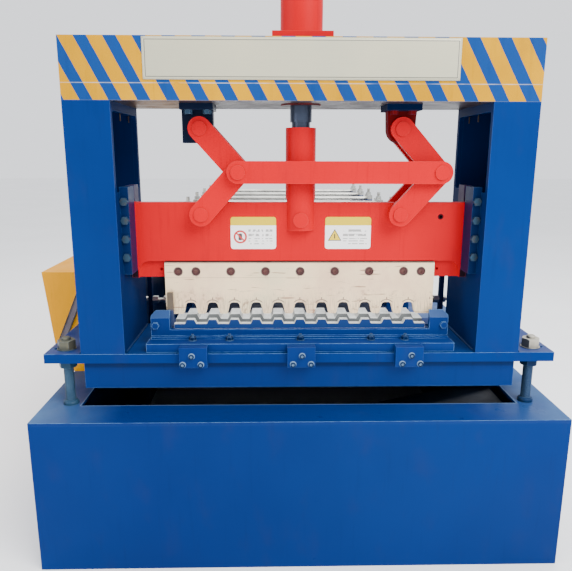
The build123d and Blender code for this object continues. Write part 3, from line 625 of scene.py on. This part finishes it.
# One look for each slot; the nodes named under ownMaterials have a look of their own instead.
materials = {
    "blue_paint": paintMaterial("bluePaint", *blues, colours["blueEdge"]),
    "red_paint": paintMaterial("redPaint", *reds, colours["redEdge"], dust=0.08),
    "yellow_paint": paintMaterial("yellowPaint", colours["yellow"], colours["yellow"], colours["yellowEdge"]),
    "hazard_paint": stripedMaterial("hazardPaint"),
    "dark_steel": metalMaterial("darkSteel", (0.16, 0.12, 0.10), (0.05, 0.035, 0.03), rough=0.4),
    "zinc_steel": metalMaterial("zincSteel", (0.66, 0.66, 0.60), (0.36, 0.35, 0.32), rough=0.35,
                                stain=(0.20, 0.15, 0.08), stainAmount=0.25),
    "roll_chrome": metalMaterial("rollChrome", (0.82, 0.83, 0.84), (0.62, 0.63, 0.64), rough=0.16,
                                 scratch=(8, 1, 1)),
    "plate_metal": plateMaterial("plateMetal"),
}
# Blue paint darkened to navy as painted shade, for parts that sit in shadow.
shadedNavyPaint = paintMaterial("shadedNavyPaint", colours["navy"], colours["nightBlue"], (0.03, 0.06, 0.12), dust=0.04)
# Keepers: their blue is darkened as painted shade, with bare spotted metal on their front part.
shadedKeeperPaint = bareFromMaterial("shadedKeeperPaint", below, "Y", -1.6502, colours["keeperBlue"],
                               (0.035, 0.075, 0.12), (0.03, 0.09, 0.20))
# Guide liners: a dark purple-blue that is painted shade beside the ram.
shadedLinerPaint = paintMaterial("shadedLinerPaint", (0.045, 0.022, 0.085), (0.014, 0.012, 0.050), (0.10, 0.08, 0.16),
                           dust=0.04)
standPaint = bareFromMaterial("standPaint", above, "Z", 1.090, (0.0, 0.021, 0.12375), (0.50, 0.50, 0.46),
                              (0.05, 0.15, 0.34))
ownMaterials = {
    "left_column": columnMaterial("leftColumnPaint", -1.0),
    "right_column": columnMaterial("rightColumnPaint", 1.0),
    "upper_blade": bladeMaterial("bladeSteel"),
    "front_die": dieMaterial("frontDieSteel", (0.002, 0.026, 0.125), 0.8155),
    # The rear die's dark grey front face is painted shade in the slot.
    "rear_die": dieMaterial("rearDieSteel", (0.16, 0.17, 0.17), 0.0),
    "blade_screws": screwMaterial("screwSteel"),
    # The beam's underside: dark grey-purple as painted shade and reflection on its blue paint.
    "beam_bottom_plate": paintMaterial("beamUnderShadeAndSheen", (0.060, 0.045, 0.050), (0.030, 0.024, 0.030),
                                       colours["blueEdge"], gloss=0.35, level=0.18),
    "ram": ramMaterial("ramPaint"),
    # The right hanger: red lug and blue base both darkened as painted shade under the beam.
    "right_hanger": partedMaterial("hangerPaint", 1.5335, (0.16, 0.006, 0.008), colours["navy"],
                                   (0.05, 0.05, 0.10), dust=0.02, gloss=0.6, level=0.02),
    "left_guide_keeper": shadedKeeperPaint,
    "right_guide_keeper": shadedKeeperPaint,
    "left_guide_liner": shadedLinerPaint,
    "right_guide_liner": shadedLinerPaint,
    "left_stands": standPaint,
    "right_stands": standPaint,
    "portal_bed_plate": bedPlateMaterial("bedPlatePaint"),
    "lower_beam": lowerBeamMaterial("lowerBeamPaint"),
    "bed_top": bedTopMaterial("bedTopPaint"),
    "guard_back_plate": shadedNavyPaint,
    "pit_ledge": shadedNavyPaint,
    "bed_front_panel": paintMaterial("frontPanelPaint", *blues, colours["blueEdge"], wear=0.08),
    # The chute: its near-black steel is painted shade in the pit, with teal stains.
    "scrap_chute": metalMaterial("chuteSteel", (0.004, 0.014, 0.034), (0.002, 0.005, 0.016), rough=0.5,
                                 stain=(0.020, 0.055, 0.065), stainAmount=0.6, metallic=0.0),
    "front_die_holder": holderMaterial("holderPaint"),
    "side_guide_posts": paintMaterial("postPaint", (0.002, 0.014, 0.07), (0.0, 0.008, 0.045),
                                      (0.04, 0.10, 0.22)),
    "edge_guide": guideMaterial("guideSteel"),
    # The rod: its dark blue-grey is painted shade from the beam above.
    "cylinder_rod": metalMaterial("rodSteel", (0.045, 0.06, 0.10), (0.018, 0.024, 0.042), rough=0.3,
                                  scratch=(1, 1, 6), metallic=0.6),
    "cylinder_barrel": partedMaterial("barrelPaint", 1.5545, (0.014, 0.004, 0.007), colours["red"],
                                      colours["redEdge"]),
}
print("materials ready")


def dressNodes():
    # Every carried over node gets its slot's material and a small rounded edge.
    bySlot = {entry["node"]: entry["material_slot"] for entry in frame["record"]["subparts"]}
    for name, node in frame["nodes"].items():
        node.data.materials.clear()
        node.data.materials.append(ownMaterials.get(name) or materials[bySlot[name]])
        soften(node, 1.2 * mm)


def soften(piece, width):
    bevel = piece.modifiers.new("edges", "BEVEL")
    bevel.width = width
    bevel.segments = 2
    bevel.limit_method = "ANGLE"
    bevel.angle_limit = math.radians(35)


dressNodes()
print("nodes dressed")


# Surface helpers: a part is a pair of arrays, points and four cornered faces.

def gridFaces(rows, columns, wrap=False):
    # Faces between neighbouring rows and columns of points; wrap joins the last column to the first.
    row, column = np.meshgrid(np.arange(rows - 1), np.arange(columns if wrap else columns - 1), indexing="ij")
    here, beside = row * columns + column, row * columns + (column + 1) % columns
    return np.stack((here, here + columns, beside + columns, beside), axis=-1).reshape(-1, 4)


def joinParts(parts):
    points, faces, start = [], [], 0
    for partPoints, partFaces in parts:
        points.append(partPoints)
        faces.append(partFaces + start)
        start += len(partPoints)
    return np.concatenate(points), np.concatenate(faces)


def addPiece(name, parts, material, body, smooth=False):
    # Links one piece with its joined mesh, finish, body and slot; merges the doubled points at poles.
    points, faces = joinParts(parts)
    mesh = bpy.data.meshes.new(name)
    mesh.from_pydata(points.tolist(), [], faces.tolist())
    cleaner = bmesh.new()
    cleaner.from_mesh(mesh)
    bmesh.ops.remove_doubles(cleaner, verts=cleaner.verts, dist=1e-6)
    bmesh.ops.dissolve_degenerate(cleaner, edges=cleaner.edges, dist=1e-7)
    bmesh.ops.recalc_face_normals(cleaner, faces=cleaner.faces)
    cleaner.to_mesh(mesh)
    cleaner.free()
    mesh.polygons.foreach_set("use_smooth", np.full(len(mesh.polygons), smooth))
    mesh.materials.append(material)
    piece = bpy.data.objects.new(name, mesh)
    bpy.context.collection.objects.link(piece)
    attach(piece, body)
    return piece


def aboutAxis(radius, angle, height, place, axis):
    # Rings of points about an axis: radius cos(angle), radius sin(angle), height.
    first, second = radius * np.cos(angle), radius * np.sin(angle)
    height = np.broadcast_to(height, first.shape)
    order = {"X": (height, first, second), "Y": (second, height, first), "Z": (first, second, height)}[axis]
    points = np.stack(order, axis=-1).reshape(-1, 3) + np.asarray(place, dtype=float)
    return points * mm, gridFaces(*first.shape, wrap=True)


def lathe(profile, place, axis="Z", sides=24, turn=0.0):
    # (radius, height) pairs turned about an axis.
    profile = np.asarray(profile, dtype=float)
    angle = np.arange(sides) * 2 * np.pi / sides + turn
    radius = np.broadcast_to(profile[:, :1], (len(profile), sides))
    return aboutAxis(radius, angle, profile[:, 1:], place, axis)


def hexHead(flats, low, high, place, axis="Z"):
    # Radius flats / 2 over the cosine of the angle to the nearest flat; 30 degree cones turn off the corners.
    angle = np.arange(36) * np.pi / 18
    full = flats / 2 / np.cos(angle % (np.pi / 3) - np.pi / 6)
    held = np.minimum(full, flats / 2 * 1.02)
    drop = (full - held) * math.tan(math.radians(30))
    none = np.zeros_like(full)
    radius = np.stack([none, held, full, full, held, none])
    height = np.stack([none + low, none + low, low + drop, high - drop, none + high, none + high])
    return aboutAxis(radius, angle, height, place, axis)


def threadRod(radius, depth, pitch, low, high, place, axis="Z", sides=20):
    # A screw thread: radius - depth |2 frac(height / pitch - angle / 2 pi) - 1|, closed at both ends.
    height = np.linspace(low, high, int((high - low) / pitch * 4) + 2)[:, None]
    angle = np.arange(sides) * 2 * np.pi / sides
    groove = np.abs(2 * ((height / pitch - angle / (2 * np.pi)) % 1) - 1)
    rings = radius - depth * groove
    none = np.zeros((1, sides))
    radii = np.concatenate([none, rings, none])
    heights = np.concatenate([height[:1], height, height[-1:]])
    return aboutAxis(radii, angle, heights, place, axis)


# Corners of a box run through its first, second and third pair of limits in turn.
boxFaces = np.array([(0, 1, 3, 2), (4, 6, 7, 5), (0, 4, 5, 1), (2, 3, 7, 6), (0, 2, 6, 4), (1, 5, 7, 3)])


def slab(x, y, z):
    # A plain box between limits.
    corners = np.stack(np.meshgrid(x, y, z, indexing="ij"), axis=-1).reshape(-1, 3)
    return corners * mm, boxFaces


def fromFront(y):
    # Places along the line are written from the bed's front face, as in the part's source.
    return y - 1800.0


rolls = {
    "halfLength": 500.0, "pitch": 76.2, "middle": 74.3, "wave": 4.6, "axial": 180,
    "lowHeight": 762.7, "highHeight": 921.3, "first": 1150.0, "step": 400.0, "count": 6,
}


def rollPart(place, sign):
    # Radius = middle + sign wave cos(2 pi x / pitch), closed at both ends onto the axis.
    x = np.linspace(-rolls["halfLength"], rolls["halfLength"], rolls["axial"])
    radius = rolls["middle"] + sign * rolls["wave"] * np.cos(2 * np.pi * x / rolls["pitch"])
    profile = np.concatenate([[(0, x[0])], np.stack([radius, x], axis=-1), [(0, x[-1])]])
    return lathe(profile, place, axis="X", sides=36)


def addRolls():
    sets = (("lower_rolls", rolls["lowHeight"], 1), ("upper_rolls", rolls["highHeight"], -1))
    for node, height, sign in sets:
        depths = [fromFront(rolls["first"] + rolls["step"] * number) for number in range(rolls["count"])]
        parts = [rollPart((0, depth, height), sign) for depth in depths]
        chrome = materials["roll_chrome"]
        piece = addPiece("corrugated_" + node, parts, chrome, "frame", smooth=True)
        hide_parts(node)


addRolls()
print("rolls ready")


stickers = {
    "leftX": (-238.0, -83.0), "rightX": (85.0, 242.0), "low": 1076.5, "high": 1186.5, "corner": 9.0,
    "front": 230.0, "thick": 0.6, "band": 29.0, "signX": 0.21, "signZ": 0.38,
    "rows": ((63.4, 4.0), (48.2, 4.0), (35.8, 1.6), (27.6, 1.6), (18.1, 1.6)), "rowReach": (0.39, 0.92),
    "ringRadius": 19.68, "ringHalf": 3.2, "barHalf": 3.6, "handRadius": 12.0, "handHalf": 6.5,
    "triangle": 13.6, "innerTriangle": 11.0, "strokeHalf": 1.8, "strokeHigh": 8.0, "strokeMiddle": 2.0,
}
stickerColours = {
    "white": (1.0, 0.98, 0.95), "aged": (0.93, 0.91, 0.88), "band": (0.72, 0.52, 0.0),
    "dash": (0.22, 0.21, 0.20), "hand": (0.06, 0.05, 0.05), "ring": (0.55, 0.02, 0.02),
    "ink": (0.03, 0.03, 0.03), "sign": (0.78, 0.55, 0.02),
}


def signMaterial(name, left, right, round):
    # A blank white label with a yellow band on top and a plain sign at one side.
    material, shader = newMaterial(name)
    tints = stickerColours
    x = times(minus(axisOf("X"), left * mm), 1 / mm)
    z = times(minus(axisOf("Z"), stickers["low"] * mm), 1 / mm)
    width, height = right - left, stickers["high"] - stickers["low"]
    base = mottled(tints["white"], tints["aged"], 9.0)
    base = over(base, tints["band"], under(height - stickers["band"], z))
    # Grey dashes stand for the lines of wording: they spell nothing.
    dashes = cloud(scale=95.0, detail=2.0, stretch=(1, 1, 0.4), low=0.44, high=0.50)
    first, last = [share * width for share in stickers["rowReach"]]
    reach = times(under(first, x), under(x, last))
    for rowHeight, half in stickers["rows"]:
        row = under(sizeOf(minus(z, rowHeight)), half)
        base = over(base, tints["dash"], row, reach, dashes, 0.8)
    offX, offZ = minus(x, stickers["signX"] * width), minus(z, stickers["signZ"] * height)
    if round:
        far = farFrom(offX, offZ)
        ring = maths("COMPARE", far, stickers["ringRadius"], stickers["ringHalf"])
        slash = maths("COMPARE", plus(offX, offZ), 0.0, stickers["barHalf"])
        bar = times(slash, under(far, stickers["ringRadius"]))
        hand = times(under(far, stickers["handRadius"]), under(sizeOf(offX), stickers["handHalf"]))
        base = over(base, tints["hand"], hand)
        base = over(base, tints["ring"], larger(ring, bar))
    else:
        # Distance of a triangle with its point up: the largest of its three edges' distances.
        slant = plus(times(sizeOf(offX), math.cos(math.pi / 6)), times(offZ, 0.5))
        edge = larger(slant, times(offZ, -1.0))
        base = over(base, tints["ink"], under(edge, stickers["triangle"]))
        base = over(base, tints["sign"], under(edge, stickers["innerTriangle"]))
        stroke = times(under(sizeOf(offX), stickers["strokeHalf"]),
                       under(sizeOf(minus(offZ, stickers["strokeMiddle"])), stickers["strokeHigh"]))
        base = over(base, tints["ink"], stroke)
    feed(shader, {"Base Color": base, "Roughness": roughFrom(30.0, 0.30, 0.45, 3.0),
                  "Normal": bumpFrom(noise(40.0), 0.05, 0.001)})
    return material


def roundedPlate(x, z, corner, front, thick):
    # Outline of a rectangle with quarter circle corners, drawn through a small thickness along Y.
    angle = np.linspace(0, np.pi / 2, 7) + np.arange(4)[:, None] * np.pi / 2
    (left, right), (low, high) = (x[0] + corner, x[1] - corner), (z[0] + corner, z[1] - corner)
    rimX = np.array([right, left, left, right])[:, None] + corner * np.cos(angle)
    rimZ = np.array([high, high, low, low])[:, None] + corner * np.sin(angle)
    rim = np.stack([rimX, rimZ], axis=-1).reshape(-1, 2)
    middle = np.array([(x[0] + x[1]) / 2, (z[0] + z[1]) / 2])
    rings = []
    for share, y in ((0, front - thick), (1, front - thick), (1, front + thick), (0, front + thick)):
        flatRing = middle + (rim - middle) * share
        rings.append(np.stack([flatRing[:, 0], np.full(len(rim), fromFront(y)), flatRing[:, 1]], axis=-1))
    points = np.concatenate(rings) * mm
    return points, gridFaces(4, len(rim), wrap=True)


def addStickers():
    for name, key, round in (("left_warning_label", "leftX", True), ("right_warning_label", "rightX", False)):
        x = stickers[key]
        z = (stickers["low"], stickers["high"])
        part = roundedPlate(x, z, stickers["corner"], stickers["front"], stickers["thick"])
        addPiece(name, [part], signMaterial(name, *x, round), "ram")


addStickers()
print("labels ready")


studs = {
    "places": [(side * 800.0, y) for side in (-1, 1) for y in (160.0, 401.0)],
    "rod": (17.3, 1.0, 3.5, 553.0, 747.0),
    "foot": ((0, 543), (26, 543), (26, 551), (23.5, 556), (15, 559), (0, 559)),
    "lockNut": (54, 680, 711), "washer": ((0, 743), (32, 743), (32, 746), (0, 746)),
    "nut": (54, 746, 776), "tip": ((0, 776), (15, 776), (15, 783), (11, 786), (0, 786)),
    "paintLine": 0.7450, "zinc": ((0.52, 0.49, 0.40), (0.34, 0.31, 0.25)),
    "browned": ((0.16, 0.15, 0.10), (0.08, 0.09, 0.08)), "paint": (0.003, 0.020, 0.070),
    "leftPaint": (0.020, 0.055, 0.100), "leftFaceShade": (0.004, 0.016, 0.035), "edge": (0.16, 0.26, 0.36),
}


def studMaterial(name):
    # Teal paint up to the ear, zinc above it that is browned on the left, painted shade on faces turned left.
    material, shader = newMaterial(name)
    bare, leftSide = above("Z", studs["paintLine"]), below("X", 0.0, 0.1)
    metal = over(mottled(*studs["zinc"], 30.0), mottled(*studs["browned"], 30.0), leftSide)
    base = over(over(studs["paint"], studs["leftPaint"], leftSide), metal, bare)
    base = over(base, studs["leftFaceShade"], facing("X", -0.30, -0.75), 0.8)
    paintLayers(shader, base, studs["edge"], wear=0.5, dust=0.0)
    feed(shader, {"Metallic": times(bare, 0.4)})
    return material


def addStuds():
    parts = []
    for x, y in studs["places"]:
        place = (x, fromFront(y), 0)
        parts += [lathe(studs["foot"], place, sides=32), lathe(studs["washer"], place, sides=32),
                  lathe(studs["tip"], place)]
        parts += [hexHead(*studs[key], place) for key in ("lockNut", "nut")]
        parts.append(threadRod(*studs["rod"], place))
    piece = addPiece("threaded_levelling_studs", parts, studMaterial("studMetal"), "frame")
    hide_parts("levelling_studs")


hanger = {
    "base": ((-393, -285), (190, 310), (1534, 1554)), "lug": ((-391, -289), (230, 270), (1430, 1534)),
    "boltX": (-366.5, -305.0), "boltY": (208.0, 292.0), "bolt": (24, 1521, 1534),
}


def addHanger():
    parts = [slab(x, (fromFront(y[0]), fromFront(y[1])), z) for x, y, z in (hanger["base"], hanger["lug"])]
    # The left hanger's navy is painted shade under the beam.
    piece = addPiece("left_hanger_plate", parts, shadedNavyPaint, "frame")
    soften(piece, 1.0 * mm)
    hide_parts("left_hanger")
    bolts = [hexHead(*hanger["bolt"], (x, fromFront(y), 0)) for x in hanger["boltX"] for y in hanger["boltY"]]
    material = paintMaterial("hangerBoltPaint", (0.05, 0.10, 0.16), (0.02, 0.05, 0.09), (0.16, 0.24, 0.34),
                             dust=0.0)
    addPiece("left_hanger_bolts", bolts, material, "frame")


clamps = {
    "middles": (-359.0, 0.0, 361.5), "half": 46.5, "shifts": (-5.0, 2.5, 6.5), "face": (80.0, 100.0),
    "faceZ": (700.0, 770.0), "toe": (99.0, 116.0), "toeZ": (743.0, 770.0), "head": (9.0, 9.0),
    "washer": (11.0, 1.5), "rim": 1.5, "socket": (0.55, 0.5, 4.0),
    "bolts": ((0.0, 741.0), (-30.0, 712.0), (30.0, 712.0)),
    "headColour": (0.002, 0.012, 0.045), "socketHighlight": (0.16, 0.26, 0.40), "edge": (0.10, 0.22, 0.42),
}


def capScrew(x, z, face):
    # A socket screw seen from its head: washer, rounded rim, sunk middle.
    (radius, height), (washer, thick), rim = clamps["head"], clamps["washer"], clamps["rim"]
    mouth, floor, deep = clamps["socket"]
    seat, top = face - thick, face - thick - height
    profile = [(0, face), (washer, face), (washer, seat), (radius, seat), (radius, top + rim),
               (radius - rim, top), (radius * mouth, top), (radius * floor, top + deep),
               (0, top + deep)]
    return lathe([(r, fromFront(y)) for r, y in profile], (x, 0, z), axis="Y")


def clampMaterial(name):
    # Blue plates; the screw heads standing out in front are dark, with a painted highlight on the socket
    # floor.
    material, shader = newMaterial(name)
    face = clamps["face"][0]
    heads = below("Y", fromFront(face - 1.0) * mm, 0.0004)
    sockets = above("Y", fromFront(face - clamps["head"][1] + clamps["rim"]) * mm)
    base = over(bluePaint(), clamps["headColour"], heads)
    base = over(base, clamps["socketHighlight"], heads, sockets)
    paintLayers(shader, base, clamps["edge"], wear=0.35, dust=0.02)
    return material


def addClamps():
    parts = []
    for middle, shift in zip(clamps["middles"], clamps["shifts"]):
        x = (middle - clamps["half"], middle + clamps["half"])
        face, toe = [tuple(fromFront(y) for y in clamps[key]) for key in ("face", "toe")]
        parts += [slab(x, face, clamps["faceZ"]), slab(x, toe, clamps["toeZ"])]
        parts += [capScrew(middle + shift + off, z, clamps["face"][0]) for off, z in clamps["bolts"]]
    piece = addPiece("socket_screw_clamps", parts, clampMaterial("clampPaint"), "frame")
    soften(piece, 1.5 * mm)
    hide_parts("die_clamps")


holderBolts = {
    "x": (-369.0, -243.0, 0.0, 243.0, 360.0), "y": 155.0, "nut": (22, 774, 786),
    "washer": ((0, 771.9), (14, 771.9), (14, 774), (0, 774)), "stud": (6.0, 0.8, 2.5, 786, 795),
}


def addHolderBolts():
    places = [(x, fromFront(holderBolts["y"]), 0) for x in holderBolts["x"]]
    parts = [hexHead(*holderBolts["nut"], place) for place in places]
    parts += [lathe(holderBolts["washer"], place) for place in places]
    parts += [threadRod(*holderBolts["stud"], place, sides=16) for place in places]
    material = paintMaterial("holderBoltPaint", (0.0, 0.010, 0.06), (0.0, 0.006, 0.035), (0.10, 0.22, 0.40))
    addPiece("holder_bolts", parts, material, "frame")


def addNamePlate():
    # Front face y = front + lift sin(x / a + 2 sin(z / b)) sin(z / c) with waves a, b, c; flat at its rim.
    x = np.linspace(*namePlate["x"], namePlate["columns"])
    z = np.linspace(*namePlate["z"], namePlate["rows"])
    gridX, gridZ = np.meshgrid(x, z, indexing="ij")
    a, b, c = namePlate["waves"]
    swell = namePlate["lift"] * np.sin(gridX / a + 2 * np.sin(gridZ / b)) * np.sin(gridZ / c)
    swell[[0, -1], :] = 0
    swell[:, [0, -1]] = 0
    front = np.stack([gridX, fromFront(namePlate["front"]) + swell, gridZ], axis=-1)
    back = np.stack([gridX, np.full_like(gridX, fromFront(namePlate["back"])), gridZ], axis=-1)
    faces = gridFaces(*gridX.shape)
    rim = np.concatenate([front[:-1, 0], front[-1, :-1], front[:0:-1, -1], front[0, :0:-1]])
    rimBack = rim * (1, 0, 1) + np.array([0, fromFront(namePlate["back"]), 0])
    side = np.concatenate([rim, rimBack])
    parts = [(front.reshape(-1, 3) * mm, faces), (back.reshape(-1, 3) * mm, faces[:, ::-1]),
             (side * mm, gridFaces(2, len(rim), wrap=True))]
    piece = addPiece("bare_name_plate", parts, materials["plate_metal"], "frame", smooth=True)
    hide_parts("name_plate")


stay = {
    "low": (-930.0, 668.0), "high": (-706.0, 1180.0), "half": 13.5, "rib": 4.0, "y": (461.0, 470.0),
    "web": (463.5, 470.0), "light": (0.20, 0.17, 0.19), "dark": (0.10, 0.08, 0.09),
    "ribColour": (0.022, 0.018, 0.020), "edge": (0.30, 0.28, 0.28),
}


def stayMaterial(name):
    # Grey web between darker ribs, by the distance from the bar's middle line.
    material, shader = newMaterial(name)
    step = np.subtract(stay["high"], stay["low"])
    stepX, stepZ = [float(part) for part in step / np.linalg.norm(step)]
    offX, offZ = [minus(axisOf(axis), start * mm) for axis, start in zip("XZ", stay["low"])]
    across = sizeOf(minus(times(offX, stepZ), times(offZ, stepX)))
    ribStart = (stay["half"] - stay["rib"]) * mm
    ribs = spread(across, ribStart - 1.0 * mm, ribStart)
    base = over(mottled(stay["light"], stay["dark"], 12.0), stay["ribColour"], ribs)
    paintLayers(shader, base, stay["edge"])
    return material


def barBetween(start, end, low, high, y):
    # A box along a line in X and Z between two offsets from it.
    step = np.subtract(end, start) / np.linalg.norm(np.subtract(end, start))
    normal = np.array([step[1], -step[0]])
    flat = np.array([start, end])[:, None] + normal * np.array([low, high])[:, None]
    flat = np.repeat(flat.reshape(-1, 2), 2, axis=0)
    depth = np.tile(fromFront(np.array(y)), 4)
    return np.stack([flat[:, 0], depth, flat[:, 1]], axis=-1) * mm, boxFaces


def addStay():
    half, rib = stay["half"], stay["rib"]
    bars = ((-half, half, stay["web"]), (-half, -half + rib, stay["y"]), (half - rib, half, stay["y"]))
    parts = [barBetween(stay["low"], stay["high"], *bar) for bar in bars]
    piece = addPiece("channel_guard_stay", parts, stayMaterial("stayMetal"), "frame")
    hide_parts("guard_stay")


# Each foot seam: its distance from the middle and its reach along the line.
beads = {
    "radius": 4.5, "ripple": 0.18, "pitch": 5.0, "step": 1.6, "height": 744.0,
    "seams": ((587.0, 116.0, 445.0), (735.0, 102.0, 459.0)),
}


def bead(x, start, end):
    # A weld bead whose radius swells by (1 + ripple |sin(pi s / pitch)|) along its length s.
    travel = np.linspace(0, end - start, int((end - start) / beads["step"]))
    radius = beads["radius"] * (1 + beads["ripple"] * np.abs(np.sin(np.pi * travel / beads["pitch"])))
    radius[[0, -1]] = 0
    profile = np.stack([radius, fromFront(start) + travel], axis=-1)
    return lathe(profile, (x, 0, beads["height"]), axis="Y", sides=8)


def addBeads():
    parts = [bead(side * x, *reach) for side in (-1, 1) for x, *reach in beads["seams"]]
    material = paintMaterial("beadPaint", (0.0, 0.020, 0.09), (0.0, 0.010, 0.05), (0.02, 0.07, 0.18),
                             wear=0.4, dust=0.0)
    addPiece("column_weld_beads", parts, material, "frame", smooth=True)


holeBolts = {"places": ((-612.0, 311.0), (-612.0, 431.0), (612.0, 305.0), (612.0, 402.0)),
             "thread": (3.2, 0.5, 1.5), "reach": (1503.0, 1554.0)}


def addHoleBolts():
    rods = [threadRod(*holeBolts["thread"], *holeBolts["reach"], (x, fromFront(y), 0), sides=12)
            for x, y in holeBolts["places"]]
    addPiece("column_hole_bolts", rods, materials["dark_steel"], "frame")


guideBolts = {
    "y": 527.0, "z": 824.0, "thread": (7.0, 0.7, 2.0), "reach": (523.0, 618.0), "nut": (28, 553.0, 575.0),
    "washer": (14.0, 593.0, 602.0), "endNut": (28, 523.5, 531.5),
}


def addGuideBolts():
    parts = []
    for side in (-1, 1):
        place = (0, fromFront(guideBolts["y"]), guideBolts["z"])
        low, high = sorted(side * x for x in guideBolts["reach"])
        parts.append(threadRod(*guideBolts["thread"], low, high, place, axis="X", sides=16))
        for key in ("nut", "endNut"):
            flats, *reach = guideBolts[key]
            parts.append(hexHead(flats, *sorted(side * x for x in reach), place, axis="X"))
        radius, *reach = guideBolts["washer"]
        a, b = sorted(side * x for x in reach)
        parts.append(lathe(((0, a), (radius, a), (radius, b), (0, b)), place, axis="X"))
    piece = addPiece("threaded_guide_bolts", parts, materials["zinc_steel"], "frame")
    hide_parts("side_guide_bolts")


addStuds()
addHanger()
addClamps()
addHolderBolts()
addNamePlate()
addStay()
addBeads()
addHoleBolts()
addGuideBolts()
print("fittings ready")


def addCamera():
    data = bpy.data.cameras.new("photoCamera")
    camera = bpy.data.objects.new("photoCamera", data)
    bpy.context.collection.objects.link(camera)
    data.sensor_fit = "HORIZONTAL"
    data.sensor_width = 36.0
    data.lens = cameraView["focalPixels"] / cameraView["photoWidth"] * data.sensor_width
    data.clip_start = 0.05
    data.clip_end = 100
    pitch = math.radians(90 - cameraView["pitch"])
    yaw = math.radians(-cameraView["yaw"])
    roll = math.radians(cameraView["roll"])
    turn = Euler((pitch, 0, yaw)).to_matrix() @ Euler((0, 0, -roll)).to_matrix()
    camera.rotation_euler = turn.to_euler()
    camera.location = cameraView["place"]
    bpy.context.scene.camera = camera


def addLight(name, place, aim, size, power):
    data = bpy.data.lights.new(name, "AREA")
    data.shape = "SQUARE"
    data.size = size
    data.energy = power
    lamp = bpy.data.objects.new(name, data)
    bpy.context.collection.objects.link(lamp)
    lamp.location = place
    lamp.rotation_euler = (Vector(aim) - Vector(place)).to_track_quat("-Z", "Y").to_euler()


def addStage():
    world = bpy.data.worlds.new("paleRoom")
    bpy.context.scene.world = world
    world.use_nodes = True
    sky = world.node_tree.nodes["Background"]
    feed(sky, {"Color": (*lights["skyColour"], 1.0), "Strength": lights["skyPower"]})
    for name in ("key", "fill", "top"):
        addLight(name + "Light", **lights[name])
    half = lights["floorHalf"]
    mesh = bpy.data.meshes.new("floor")
    corners = [(-half, -half, 0), (half, -half, 0), (half, half, 0), (-half, half, 0)]
    mesh.from_pydata(corners, [], [(0, 1, 2, 3)])
    floor = bpy.data.objects.new("floor", mesh)
    bpy.context.collection.objects.link(floor)
    material, shader = newMaterial("floorPaint")
    feed(shader, {"Base Color": mottled(*lights["floorColours"], 0.9), "Roughness": 0.6})
    mesh.materials.append(material)


addStage()
addCamera()
print("stage ready")
